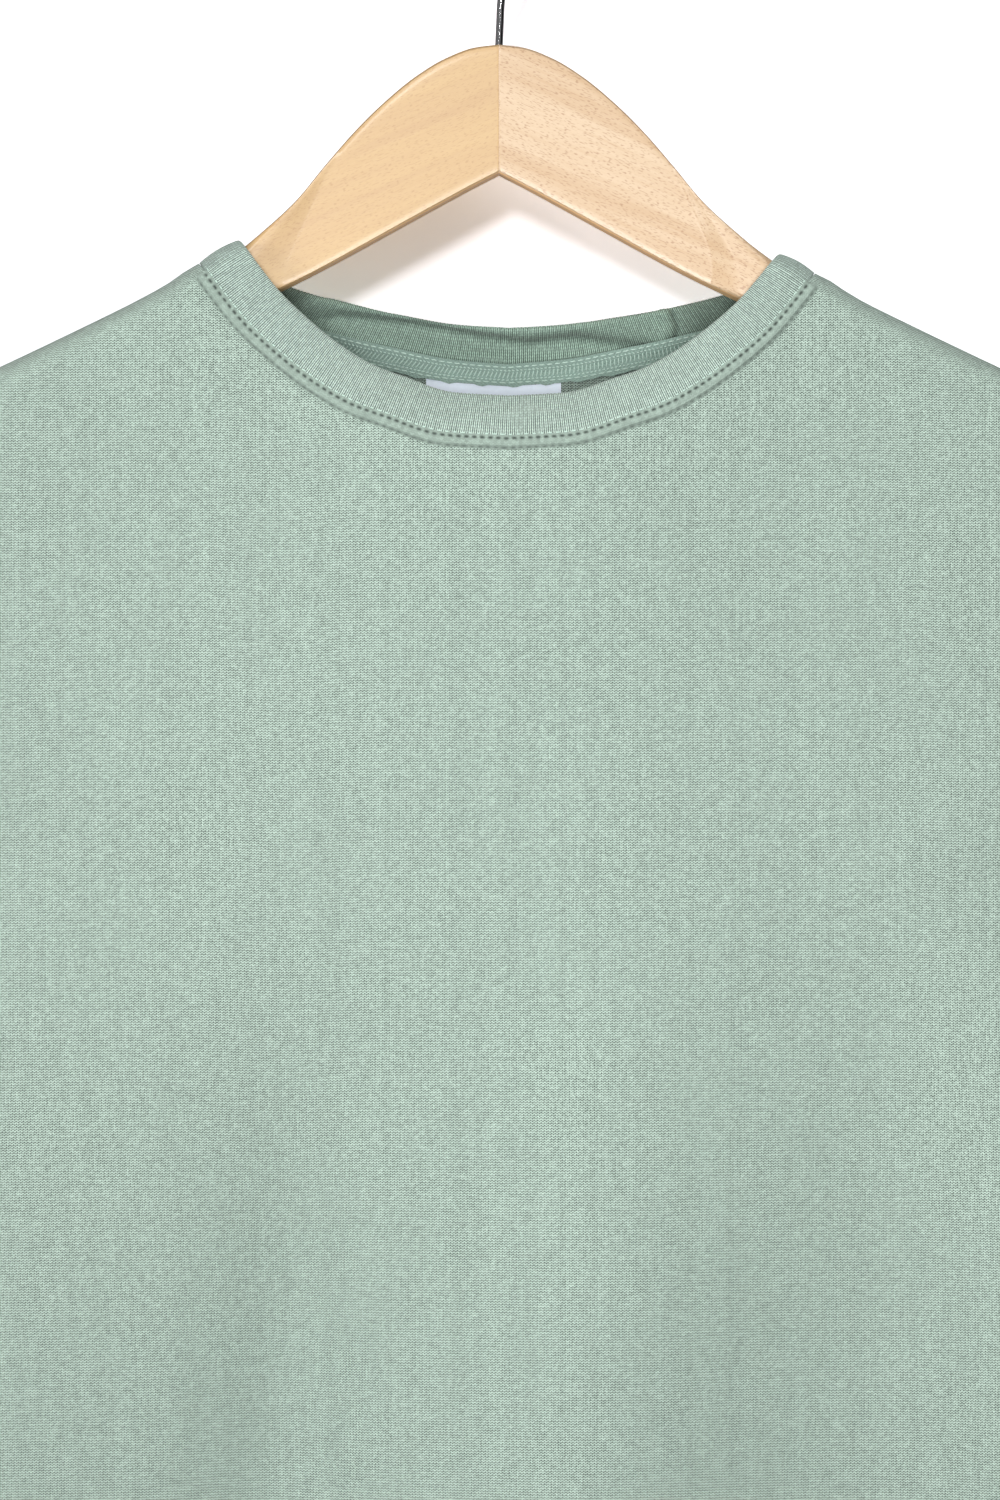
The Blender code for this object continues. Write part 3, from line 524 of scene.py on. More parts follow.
def neck_seam_points(across, side, shift):
    """Points of the neck seam, shifted in the panel's plane: down and out is positive."""
    x, z = neck_edge(across, side, "seam")
    step = 0.01
    inner_x, inner_z = neck_edge(np.clip(across - step, -1.0, 1.0), side, "seam")
    outer_x, outer_z = neck_edge(np.clip(across + step, -1.0, 1.0), side, "seam")
    length = np.hypot(outer_x - inner_x, outer_z - inner_z)
    x = x + shift * (outer_z - inner_z) / length
    z = z - shift * (outer_x - inner_x) / length
    depth = np.where(at_tip(across), 0.0, body_depth(x, z, side))
    return points(x, side * depth, z)


def at_tip(across):
    """True at the neck's two ends, where front and back meet on the shoulder line."""
    return np.isclose(np.abs(across), 1.0)


def shoulder_angle(x, z, across):
    """Angle reached round the shoulder at a place on a neck edge: 0 on the ridge, a right angle below."""
    return np.where(at_tip(across), 0.0, round_angle(ridge(x) - z, SHOULDER_ROUND))


def neck_seam_normals(across, side):
    """Normals shared by both pieces at the neck seam: out of the garment, leaning up."""
    x, z = neck_edge(across, side, "seam")
    angle = shoulder_angle(x, z, across)
    out = points(0.0, side * np.sin(angle), 0.0)
    lean = NECK_LEAN_AT_SHOULDER * np.cos(angle) + NECK_LEAN
    return unit(out + ridge_normal(x) * lean[..., None])


def neck_fold_points(across, side):
    """Points of the neckband's folded upper edge."""
    x, z = neck_edge(across, side, "fold")
    depth = through(FOLD_DEPTH, column_of(side), np.abs(across))
    return points(x, side * depth * np.sin(shoulder_angle(x, z, across)), z)


def armhole_flat(along, hand):
    """Points (x, z) of the armhole seam from the shoulder (0) to the underarm (1)."""
    x = GARMENT_AXIS + hand * through(ARMHOLE, "x", along)
    top = ridge(GARMENT_AXIS + hand * SHOULDER_HALF)
    return x, top + (UNDERARM_Z - top) * along


def armhole_axis(along, hand):
    """Direction in which the sleeve leaves the armhole: steeply down at the top, level below."""
    start = np.array((hand * math.cos(ARMHOLE_STEEP), 0.0, -math.sin(ARMHOLE_STEEP)))
    end = np.array((hand, 0.0, 0.0))
    share = np.asarray(along)[..., None]
    return unit(start * (1.0 - share) + end * share)


def loop_normals(loop, axes):
    """Outward normals of a closed loop of points, square to the given axes."""
    tangent = np.roll(loop, -1, axis=0) - np.roll(loop, 1, axis=0)
    normals = unit(np.cross(tangent, axes))
    outward = np.sum(normals * (loop - loop.mean(axis=0)))
    return normals if outward > 0.0 else -normals


def grid_normals(grid, wrap=False):
    """Normals of a grid of points from the differences between its neighbours."""
    down = np.gradient(grid, axis=0)
    if wrap:
        across = np.roll(grid, -1, axis=1) - np.roll(grid, 1, axis=1)
    else:
        across = np.gradient(grid, axis=1)
    return unit(np.cross(down, across))


def armhole_steps():
    """Places from 0 to 1 down the armhole: evenly round the shoulder, then closer at the underarm."""
    length = ridge(SHOULDER_HALF) - UNDERARM_Z
    turn = 0.5 * np.pi * np.arange(SHOULDER_ROWS) / SHOULDER_ROWS
    over = SHOULDER_ROUND * (1.0 - np.cos(turn)) / length
    start = SHOULDER_ROUND / length
    rest = ARMHOLE_STEPS - SHOULDER_ROWS
    below = start + (1.0 - start) * np.sin(0.5 * np.pi * np.arange(rest + 1) / rest)
    return np.concatenate((over, below))


def ring_of(front, back):
    """One closed ring from a front row and a back row that share their end points."""
    return np.concatenate((front, back[-2:0:-1]), axis=0)


def armhole_ring(hand, shift):
    """The armhole seam as a ring from the shoulder down the front and up the back, with normals."""
    along = armhole_steps()
    x, z = armhole_flat(along, hand)
    rows = []
    for side in (FRONT, BACK):
        depth = body_depth(x, z, side)
        depth[[0, -1]] = 0.0
        rows.append(points(x, side * depth, z) + shift * armhole_axis(along, hand))
    ring = ring_of(rows[0], rows[1])
    axes = ring_of(armhole_axis(along, hand), armhole_axis(along, hand))
    return ring, loop_normals(ring, axes)


def panel_columns():
    """Columns of a panel from left to right: the place on the shoulder or neck, and on the hem."""
    from_side = (np.arange(SHOULDER_STEPS) / SHOULDER_STEPS) ** SHOULDER_CROWDING
    neck = -np.cos(np.pi * np.arange(NECK_STEPS + 1) / NECK_STEPS)
    return from_side, neck


def panel_top(side):
    """Upper edge of a panel: shoulder, neck seam, shoulder; points and normals."""
    from_side, neck = panel_columns()
    neck_row = neck_seam_points(neck, side, HALF_GAP)
    neck_row[[0, -1], 1] = side * HALF_GAP
    rows = []
    normals = []
    for hand, corner in ((LEFT, neck_row[0, 0]), (RIGHT, neck_row[-1, 0])):
        start = GARMENT_AXIS + hand * (SHOULDER_HALF - HALF_GAP)
        x = start + (corner - start) * from_side
        rows.append(points(x, side * HALF_GAP, ridge(x)))
        normals.append(ridge_normal(x))
    top = np.concatenate((rows[0], neck_row, rows[1][::-1]))
    top_normals = np.concatenate((normals[0], neck_seam_normals(neck, side), normals[1][::-1]))
    return top, top_normals


def panel(side):
    """Outer grid and normals of the front or the back, from shoulder and neck down to the hem seam."""
    from_side, neck = panel_columns()
    top, top_normals = panel_top(side)
    hem_z = HEM_SEAM_Z + HALF_GAP
    hem_half = through(BODY, "half_width", np.array(hem_z))
    left = -hem_half + (hem_half - HEM_BELOW_NECK) * from_side
    middle = HEM_BELOW_NECK * np.linspace(-1.0, 1.0, len(neck))
    hem_x = GARMENT_AXIS + np.concatenate((left, middle, -left[::-1]))

    top_z = 0.5 * (top[0, 2] + top[-1, 2])
    underarm = (UNDERARM_Z - top_z) / (hem_z - top_z)
    upper = underarm * armhole_steps()
    lower = underarm + (1.0 - underarm) * (np.arange(1, SIDE_STEPS + 1) / SIDE_STEPS) ** SIDE_CROWDING
    down = np.concatenate((upper, lower))

    x = np.outer(1.0 - down, top[:, 0]) + np.outer(down, hem_x)
    z = np.outer(1.0 - down, top[:, 2]) + np.outer(down, np.full(len(hem_x), hem_z))
    share = (hem_x - hem_x[0]) / (hem_x[-1] - hem_x[0])
    for hand, column, weight in ((LEFT, 0, (1.0 - share) ** 2), (RIGHT, -1, share**2)):
        edge_x, edge_z = panel_side(down, underarm, hand, hem_z)
        x += np.outer(edge_x - x[:, column], weight)
        z += np.outer(edge_z - z[:, column], weight)
    grid = body_points(x, z, side)
    grid[0] = top
    grid[ARMHOLE_STEPS, [0, -1], 1] = side * HALF_GAP

    normals = grid_normals(grid)
    if np.sum(normals[..., 1] * side) < 0.0:
        normals = -normals
    normals[-1, :, 2] = 0.0
    normals = unit(normals)
    normals[0] = top_normals
    for hand, column in ((LEFT, 0), (RIGHT, -1)):
        pin_side_normals(normals, grid, side, hand, column)
    return grid, normals


def panel_side(down, underarm, hand, hem_z):
    """Side edge of a panel (x, z): the armhole seam above the underarm and the side seam below."""
    along = ramp(down, underarm)
    x, z = armhole_flat(along, hand)
    below = down > underarm
    z = np.where(below, UNDERARM_Z + (hem_z - UNDERARM_Z) * (down - underarm) / (1.0 - underarm), z)
    half_width = through(BODY, "half_width", z)
    x = np.where(below, GARMENT_AXIS + hand * half_width, x - hand * HALF_GAP)
    return x, z


def pin_side_normals(normals, grid, side, hand, column):
    """Set the normals along a panel's side edge to those that its neighbours share."""
    _, ring_normals = armhole_ring(hand, 0.0)
    if side == FRONT:
        armhole = ring_normals[: ARMHOLE_STEPS + 1]
    else:
        armhole = np.concatenate((ring_normals[:1], ring_normals[: ARMHOLE_STEPS - 1 : -1]))
    normals[: ARMHOLE_STEPS + 1, column] = armhole
    below = UNDERARM_Z - grid[ARMHOLE_STEPS + 1 :, column, 2]
    turn = 0.5 * np.pi * np.exp(-below / UNDERARM_TURN)
    normals[ARMHOLE_STEPS + 1 :, column] = points(hand * np.cos(turn), 0.0, -np.sin(turn))


def tube_section(rows, station, hand):
    """Front and back rows of a flattened tube's section between its outer and inner edge."""
    outer_x, outer_z, inner_x, inner_z, depth = (through(rows, name, station) for name in TUBE_COLUMNS[1:])
    share = armhole_steps()
    round_off = (4.0 * share * (1.0 - share)) ** SLEEVE_ROUND
    x = outer_x + (inner_x - outer_x) * share
    z = outer_z + (inner_z - outer_z) * share
    crease = folds(x, z, SLEEVE_FOLDS)
    front = points(GARMENT_AXIS + hand * x, FRONT * (depth + crease) * round_off, z)
    back_depth = depth + SLEEVE_BACK_FOLDS * crease
    back = points(GARMENT_AXIS + hand * x, BACK * back_depth * round_off, z)
    return front, back


def tube_axis(rows, station, hand):
    """Direction down a sleeve or cuff at a station."""
    step = 0.05
    here = []
    for place in (station - step, station + step):
        x = curve_through(rows["station"], rows["outer_x"] + rows["inner_x"], place)
        z = curve_through(rows["station"], rows["outer_z"] + rows["inner_z"], place)
        here.append(np.array((hand * x, 0.0, z)))
    return unit(here[1] - here[0])


def sleeve(hand):
    """Outer grid and normals of a sleeve: rings from the armhole seam to the cuff seam."""
    last = SLEEVE["station"][-1]
    stations = last * (np.arange(SLEEVE_STEPS + 1) / SLEEVE_STEPS)
    ring, ring_normals = armhole_ring(hand, HALF_GAP)
    first = ring_of(*tube_section(SLEEVE, 0.0, hand))
    rings = []
    for station in stations:
        fade = max(1.0 - station / (ARMHOLE_FADE * last), 0.0) ** 1.5
        rings.append(ring_of(*tube_section(SLEEVE, station, hand)) + fade * (ring - first))
    grid = np.array(rings)
    end_axis = tube_axis(SLEEVE, last, hand)
    grid[-1] -= HALF_GAP * end_axis
    normals = tube_normals(grid)
    normals[0] = ring_normals
    normals[-1] = loop_normals(grid[-1], end_axis)
    return grid, normals


def cuff(hand):
    """Outer grid and normals of a cuff."""
    last = CUFF["station"][-1]
    stations = last * (np.arange(CUFF_STEPS + 1) / CUFF_STEPS)
    grid = np.array([ring_of(*tube_section(CUFF, place, hand)) for place in stations])
    axis = tube_axis(SLEEVE, SLEEVE["station"][-1], hand)
    grid[0] += HALF_GAP * axis
    normals = tube_normals(grid)
    normals[0] = loop_normals(grid[0], axis)
    return grid, normals


def hem_band():
    """Outer grid and normals of the hem band, whose upper ring follows the panels' lower edges."""
    front, _ = panel(FRONT)
    x = front[-1, :, 0]
    rings = []
    top = HEM_SEAM_Z - HALF_GAP
    start = through(BODY, "half_width", np.array(HEM_SEAM_Z + HALF_GAP))
    for z in np.linspace(top, HEM_END_Z, HEM_STEPS + 1):
        half_width = through(BODY, "half_width", np.array(z))
        row_x = GARMENT_AXIS + (x - GARMENT_AXIS) * half_width / start
        rows = []
        for side in (FRONT, BACK):
            depth = body_depth(row_x, np.full(len(x), z), side)
            depth[[0, -1]] = 0.0
            rows.append(points(row_x, side * depth, z))
        rings.append(ring_of(rows[0], rows[1]))
    grid = np.array(rings)
    normals = tube_normals(grid)
    normals[0] = loop_normals(grid[0], np.array((0.0, 0.0, 1.0)))
    return grid, normals


def tube_normals(grid):
    """Outward normals of a grid of closed rings."""
    normals = grid_normals(grid, wrap=True)
    outward = np.sum(normals * (grid - grid.mean(axis=1, keepdims=True)))
    return normals if outward > 0.0 else -normals


def neck_tape():
    """Grids of the tape's two faces over the back neck seam, on the inside of the garment."""
    across = np.linspace(TAPE_REACH, -TAPE_REACH, NECK_STEPS + 1)
    seam = neck_seam_points(across, BACK, 0.0)
    normals = neck_seam_normals(across, BACK)
    fold = neck_fold_points(across, BACK)
    up = unit(fold - seam)
    below = neck_seam_points(across, BACK, TAPE_FALL)
    level = points(0.0, np.full(len(across), BACK), 0.0)
    rows = (
        (seam + TAPE_RISE * up, normals, RIB_WALL + BAND_BULGE),
        (seam, normals, RIB_WALL),
        (below, level, WALL + SEAM_GAP),
    )
    near = []
    far = []
    for place, away, wall in rows:
        near.append(place - (wall + SEAM_GAP) * away)
        far.append(place - (wall + SEAM_GAP + TAPE_WALL) * away)
    return np.array(near), np.array(far)


def label():
    """Grids of the label's two faces, made from the back panel's points moved inwards."""
    x = np.linspace(LABEL_RIGHT, LABEL_LEFT, LABEL_COLUMNS)
    centre, half, _ = NECK_EDGES[(BACK, "seam")]
    _, top = neck_edge((x - centre) / half, BACK, "seam")
    near = []
    far = []
    for drop in np.linspace(0.0, LABEL_DROP, LABEL_ROWS):
        z = top - TAPE_FALL - SEAM_GAP - drop
        face = body_points(x, z, BACK)
        near.append(face - points(0.0, WALL + SEAM_GAP, 0.0))
        far.append(face - points(0.0, WALL + SEAM_GAP + LABEL_WALL, 0.0))
    return np.array(near), np.array(far)


def quads(first, second, third, fourth):
    """Faces from four arrays of vertex numbers."""
    return np.stack((first.ravel(), second.ravel(), third.ravel(), fourth.ravel()), axis=-1)


def grid_faces(index):
    """Quads between the neighbouring rows and columns of a grid of numbers."""
    return quads(index[:-1, :-1], index[1:, :-1], index[1:, 1:], index[:-1, 1:])


def rim(near, far):
    """Quads between two rows of numbers."""
    return quads(near[:-1], near[1:], far[1:], far[:-1])


def wall_faces(outer, inner, wrap):
    """Faces of a wall: the outer grid, the inner grid turned round, and its open edges closed."""
    faces = [
        grid_faces(outer),
        grid_faces(inner)[:, ::-1],
        rim(outer[0], inner[0]),
        rim(outer[-1, ::-1], inner[-1, ::-1]),
    ]
    if not wrap:
        faces.append(rim(outer[::-1, 0], inner[::-1, 0]))
        faces.append(rim(outer[:, -1], inner[:, -1]))
    return np.concatenate(faces)


def numbered(rows, columns, start=0, wrap=False, wrap_rows=False):
    """A grid of vertex numbers whose first column or row comes again at its end where it wraps."""
    index = start + np.arange(rows * columns).reshape(rows, columns)
    if wrap:
        index = np.concatenate((index, index[:, :1]), axis=1)
    if wrap_rows:
        index = np.concatenate((index, index[:1]), axis=0)
    return index


def capped_tube(grid, centres):
    """Vertices and triangles of a tube of closed rings, with a fan from a centre over each end."""
    rows, sides = grid.shape[:2]
    index = numbered(rows, sides, 0, wrap=True)
    body = grid_faces(index)
    corners = [body[:, [0, 1, 2]], body[:, [0, 2, 3]]]
    for number, ring in enumerate((index[0], index[-1, ::-1])):
        corners.append(np.stack((ring[:-1], ring[1:], np.full(sides, rows * sides + number)), axis=-1))
    return np.concatenate((grid.reshape(-1, 3), centres)), np.concatenate(corners)


def flat_uv(grid):
    """Lie of a panel's cloth on the table: x and z, each lengthened by what the depth adds."""
    steps = np.diff(grid, axis=0)
    longer = np.hypot(steps[..., 1], steps[..., 2]) - np.abs(steps[..., 2])
    above = np.concatenate((np.cumsum(longer[::-1], axis=0)[::-1], np.zeros((1, grid.shape[1]))))
    v = grid[..., 2] + above
    steps = np.diff(grid, axis=1)
    longer = np.hypot(steps[..., 0], steps[..., 1]) - np.abs(steps[..., 0])
    added = np.concatenate((np.zeros((grid.shape[0], 1)), np.cumsum(longer, axis=1)), axis=1)
    middle = grid.shape[1] // 2
    u = grid[..., 0] + added - added[:, middle : middle + 1]
    return np.stack((u, v), axis=-1)


def tube_uv(grid):
    """Lie of a tube's cloth: u is the length round its ring, v the mean length down it."""
    closed = np.concatenate((grid, grid[:, :1]), axis=1)
    around = np.linalg.norm(np.diff(closed, axis=1), axis=-1)
    u = np.concatenate((np.zeros((grid.shape[0], 1)), np.cumsum(around, axis=1)), axis=1)
    down = np.linalg.norm(np.diff(grid, axis=0), axis=-1).mean(axis=1)
    v = -np.concatenate(([0.0], np.cumsum(down)))
    return np.stack(np.broadcast_arrays(u, v[:, None]), axis=-1)


def new_mesh(name, vertices, faces, uv, uv_faces, sharp=50.0):
    """A smooth object with faces outwards and the UV map "lie", from points below the wood's top."""
    if turned_inside_out(vertices, faces):
        faces = faces[:, ::-1]
        uv_faces = uv_faces[:, ::-1]
    mesh = bpy.data.meshes.new(name)
    mesh.from_pydata((vertices + np.array((0.0, 0.0, WOOD_TOP))).tolist(), [], faces.tolist())
    layer = mesh.uv_layers.new(name="lie")
    layer.uv.foreach_set("vector", uv.reshape(-1, 2)[uv_faces.ravel()].astype(np.float32).ravel())
    mesh.shade_smooth()
    mesh.set_sharp_from_angle(angle=math.radians(sharp))
    obj = bpy.data.objects.new(name, mesh)
    bpy.context.scene.collection.objects.link(obj)
    return obj


def turned_inside_out(vertices, faces):
    """True where the closed surface's signed volume is negative."""
    corners = vertices[faces[:, 0]]
    volume = 0.0
    for second in range(1, faces.shape[1] - 1):
        around = np.cross(vertices[faces[:, second]], vertices[faces[:, second + 1]])
        volume += np.sum(corners * around)
    return volume < 0.0


def cloth_wall(name, outer, inner, uv, wrap=False):
    """A closed cloth wall between two grids of points."""
    rows, columns = outer.shape[:2]
    vertices = np.concatenate((outer.reshape(-1, 3), inner.reshape(-1, 3)))
    near = numbered(rows, columns, 0, wrap)
    far = numbered(rows, columns, rows * columns, wrap)
    lie = numbered(rows, columns + 1 if wrap else columns)
    return new_mesh(name, vertices, wall_faces(near, far, wrap), uv, wall_faces(lie, lie, wrap))


def finish_piece(obj, material, slot, *nodes):
    """Give a piece its material and any nodes it stands for, and let it ride on the body.

    The slot is not used.
    """
    obj.data.materials.append(material)
    if nodes:
        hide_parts(*nodes)
    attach(obj, "root")


def joined_by(operation, turned=False):
    """A method that joins a value and another by a Math node."""

    def method(self, other):
        pair = (other, self) if turned else (self, other)
        return self.node("ShaderNodeMath", {"operation": operation}, {0: pair[0], 1: pair[1]})

    return method


class Shade:
    """A socket of a material's node tree, on which arithmetic adds Math nodes."""

    def __init__(self, tree, socket=None):
        self.tree = tree
        self.socket = socket

    def node(self, kind, settings=None, values=None, output=0):
        """Add a node: its settings come first, then the values or links of its sockets."""
        made = self.tree.nodes.new(kind)
        for name, value in (settings or {}).items():
            setattr(made, name, value)
        for name, value in (values or {}).items():
            if isinstance(value, Shade):
                self.tree.links.new(value.socket, made.inputs[name])
            else:
                made.inputs[name].default_value = value
        return Shade(self.tree, made.outputs[output])

    def output(self, name):
        """Another output of the node that this socket belongs to."""
        return Shade(self.tree, self.socket.node.outputs[name])

    def maths(self, operation, *others):
        """A Math node on this value and up to two others."""
        values = {0: self}
        values.update({number + 1: other for number, other in enumerate(others)})
        return self.node("ShaderNodeMath", {"operation": operation}, values)

    __add__ = joined_by("ADD")
    __radd__ = joined_by("ADD")
    __sub__ = joined_by("SUBTRACT")
    __rsub__ = joined_by("SUBTRACT", turned=True)
    __mul__ = joined_by("MULTIPLY")
    __rmul__ = joined_by("MULTIPLY")

    def __abs__(self):
        return self.maths("ABSOLUTE")

    def floor(self):
        """The whole number below this value."""
        return self.maths("FLOOR")

    def fraction(self):
        """What is left of this value above its whole number."""
        return self.maths("FRACT")

    def moved(self, **values):
        """This place turned or scaled by a Mapping node."""
        return self.node("ShaderNodeMapping", {"vector_type": "POINT"}, {"Vector": self, **values})

    def rise(self, start, end):
        """Smooth step from 0 at start to 1 at end."""
        values = {"Value": self, "From Min": start, "From Max": end, "To Min": 0.0, "To Max": 1.0}
        return self.node("ShaderNodeMapRange", {"interpolation_type": "SMOOTHSTEP"}, values)

    def colour(self, value):
        """A colour that a pattern then changes from place to place."""
        made = self.node("ShaderNodeRGB")
        made.socket.default_value = (value[0], value[1], value[2], 1.0)
        return made

    def vector(self, x, y, z=0.0):
        """A vector of three values."""
        return self.node("ShaderNodeCombineXYZ", None, {"X": x, "Y": y, "Z": z})

    def noise(self, place, scale, detail=2.0, roughness=0.5):
        """Smooth noise from 0 to 1 at a place."""
        values = {"Vector": place, "Scale": scale, "Detail": detail, "Roughness": roughness}
        return self.node("ShaderNodeTexNoise", {"noise_dimensions": "3D"}, values)

    def chance(self, x, y, z=0.0):
        """An unrelated number from 0 to 1 for each whole x, y and z."""
        values = {"Vector": self.vector(x, y, z)}
        return self.node("ShaderNodeTexWhiteNoise", {"noise_dimensions": "3D"}, values)

    def tinted(self, scale):
        """This colour made lighter or darker by a value."""
        values = {0: self, "Scale": scale}
        return self.node("ShaderNodeVectorMath", {"operation": "SCALE"}, values)

    def mixed(self, other, factor):
        """This colour turned towards another by a factor from 0 to 1."""
        values = {0: factor, 6: self, 7: other}
        return self.node("ShaderNodeMix", {"data_type": "RGBA"}, values, output=2)


def new_material(name):
    """An empty material with a Principled shader: the material, its shader node and a Shade."""
    made = bpy.data.materials.new(name)
    made.use_nodes = True
    tree = made.node_tree
    return made, tree.nodes["Principled BSDF"], Shade(tree)


def plug(shade, value, socket):
    """Link a value to a socket of the shader."""
    shade.tree.links.new(value.socket, socket)


def bumped(shade, height, distance, strength=1.0):
    """A normal bent by a height field that is measured in shares of a distance."""
    values = {"Height": height, "Distance": distance, "Strength": strength}
    return shade.node("ShaderNodeBump", None, values)


def dress(shade, shader, colour, height, distance, strength):
    """Give the shader its colour, and a normal bent by a height field."""
    plug(shade, colour, shader.inputs["Base Color"])
    plug(shade, bumped(shade, height, distance, strength), shader.inputs["Normal"])


def cloth_place(shade, scale_u, scale_v):
    """The piece's lie in counts of wales and courses."""
    uv = shade.node("ShaderNodeUVMap", {"uv_map": "lie"})
    apart = shade.node("ShaderNodeSeparateXYZ", None, {"Vector": uv})
    return uv, apart.output("X") * (1.0 / scale_u), apart.output("Y") * (1.0 / scale_v)


def jersey_material(settings):
    """Jersey with its loops inside: V-shaped stitches, darkest at each column's edges and middle.

    The gaps between strands lie where course - |column place - 1/2| is whole. Each gap, strand and
    column has a lightness of its own.
    """
    made, shader, shade = new_material("sage_jersey")
    uv, wale, course = cloth_place(shade, settings.wale_pitch, settings.course_pitch)
    turn = 2.0 * math.pi
    climb = course - abs(wale.fraction() - 0.5)
    between = (climb * turn).maths("COSINE") * 0.5 + 0.5
    across = (wale * (2.0 * turn)).maths("COSINE") * 0.5 + 0.5
    edge = (wale * turn).maths("COSINE") * 0.5 + 0.5
    rising = wale.fraction().rise(0.42, 0.58)
    gap = between * (0.28 + across * (0.50 + edge * 0.22)) * (0.80 + rising * 0.20)
    strand_pick = shade.chance((wale * 2.0).floor(), climb.floor(), 7.0)
    gap_pick = shade.chance((wale * 2.0 + 0.5).floor(), (climb + 0.5).floor(), 3.0)
    column = shade.chance(wale.floor(), 1.0, 11.0)
    stretched = uv.moved(Scale=(0.22, 1.0, 1.0))
    slub = shade.noise(stretched, 900.0, 2.0, 0.6)
    cloud = shade.noise(uv, 24.0, 2.0, 0.5)
    light = 1.15 + strand_pick * 0.28 - gap * (1.30 + gap_pick * 0.84)
    light = light + strand_pick.rise(0.93, 1.0) * 0.08
    light = light * (0.96 + column * 0.08)
    light = light * (0.86 + slub * 0.26)
    light = light * (0.97 + cloud * 0.06)
    base = shade.colour(settings.jersey_colour)
    height = strand_pick * 0.12 - gap * 0.8
    dress(shade, shader, base.tinted(light.maths("MAXIMUM", 0.04)), height, 0.0002, 0.6)
    finish_cloth(shader)
    return made


def finish_cloth(shader):
    """Constants shared by the cotton finishes: matt, with a faint sheen of fibre ends."""
    shader.inputs["Roughness"].default_value = 0.92
    shader.inputs["Specular IOR Level"].default_value = 0.2
    shader.inputs["Sheen Weight"].default_value = 0.12
    shader.inputs["Sheen Roughness"].default_value = 0.5


def rib_material(settings, name, shaped):
    """1x1 rib: columns of two steep legs each, dark between columns and a little dark between legs.

    Across a rib the legs are |sin(2 pi phase)| and the rib itself is sin(pi phase); where the mesh has no
    ribs of its own, the second sine bends the normal.
    """
    made, shader, shade = new_material(name)
    uv, rib, course = cloth_place(shade, settings.rib_pitch, settings.course_pitch)
    phase = rib.fraction()
    crown = (phase * math.pi).maths("SINE")
    leg = abs((phase * (2.0 * math.pi)).maths("SINE"))
    climb = course - abs(phase - 0.5) * 1.3
    strand = 1.0 - abs(climb.fraction() - 0.5) * 2.0
    pick = shade.chance((rib * 2.0).floor(), climb.floor(), 3.0)
    grain = shade.noise(uv, 1100.0, 2.0, 0.6)
    cloud = shade.noise(uv, 60.0, 2.0, 0.5)
    light = (leg * 1.56) * (0.76 + crown * 0.36)
    light = light * (0.80 + strand * 0.34)
    light = light * (0.84 + pick * 0.32)
    light = light * (0.90 + grain * 0.20)
    light = light * (0.92 + cloud * 0.16)
    # Painted shade: on the neckband the stored shadow darkens the rib and turns it greener, like light
    # bounced inside the neck
    if shaped:
        shadow = shade.node("ShaderNodeAttribute", {"attribute_name": "shadow"}, output="Fac")
        light = light * (1.0 - shadow)
    base = shade.colour(settings.rib_colour)
    if shaped:
        deep = shade.colour([value * part for value, part in zip(settings.rib_colour, (0.92, 1.02, 0.95))])
        base = base.mixed(deep, (shadow * 6.0).maths("MINIMUM", 1.0))
    height = strand * 0.3 + pick * 0.2 + grain * 0.3
    if not shaped:
        height = height + crown * 1.5
    dress(shade, shader, base.tinted(light), height, 0.0003, 0.8)
    finish_cloth(shader)
    return made


def panel_piece(name, side):
    """The front or back: the panel's grid and a second one a wall further in, closed at the edges."""
    grid, normals = panel(side)
    return cloth_wall(name, grid, grid - WALL * normals, flat_uv(grid))


def tube_piece(name, grid, normals, wall):
    """A sleeve, cuff or hem: rings of points and a second set a wall further in."""
    return cloth_wall(name, grid, grid - wall * normals, tube_uv(grid), wrap=True)


def even_across(count):
    """Places round the neck ring, evenly spaced along its seam: front from right to left, then back."""
    fine = np.cos(np.pi * np.arange(2001) / 2000)
    rows = []
    for side in (FRONT, BACK):
        seam = neck_seam_points(fine, side, 0.0)
        length = length_along(seam)
        rows.append(length)
    share = rows[0][-1] / (rows[0][-1] + rows[1][-1])
    front_count = int(round(count * share))
    back_count = count - front_count
    front = np.interp(rows[0][-1] * np.arange(front_count + 1) / front_count, rows[0], fine)
    back = np.interp(rows[1][-1] * np.arange(back_count + 1) / back_count, rows[1], fine)
    return front, back, rows[0][-1] + rows[1][-1]


def neckband_rings(settings):
    """Rings of points along the neckband's seam, their normals, and the ring along its folded edge."""
    _, _, length = even_across(8)
    ribs = int(round(length / settings.rib_pitch))
    front, back, _ = even_across(ribs * RIB_STEPS)
    halves = ((front, FRONT), (back, BACK))
    seam = ring_of(*(neck_seam_points(row, side, -HALF_GAP) for row, side in halves))
    seam_out = ring_of(*(neck_seam_normals(row, side) for row, side in halves))
    fold = ring_of(*(neck_fold_points(row, side) for row, side in halves))
    return seam, seam_out, fold


def neckband_section():
    """Rows of the neckband's section: share of the height, height over the fold's centre, and depth.

    The outer face goes up from the seam, turns over the fold on a half circle and comes down inside.
    """
    radius = 0.5 * RIB_WALL
    level = np.zeros(BAND_ROWS)
    rise = np.linspace(0.0, 1.0, BAND_ROWS)
    turn = np.linspace(0.5 * np.pi, -0.5 * np.pi, BAND_FOLD_ROWS + 2)[1:-1]
    shares = np.concatenate((rise, np.ones(BAND_FOLD_ROWS), rise[::-1]))
    over = np.concatenate((level, radius * np.cos(turn), level))
    depth = np.concatenate((level, -radius + radius * np.sin(turn), level - RIB_WALL))
    return shares, over, depth


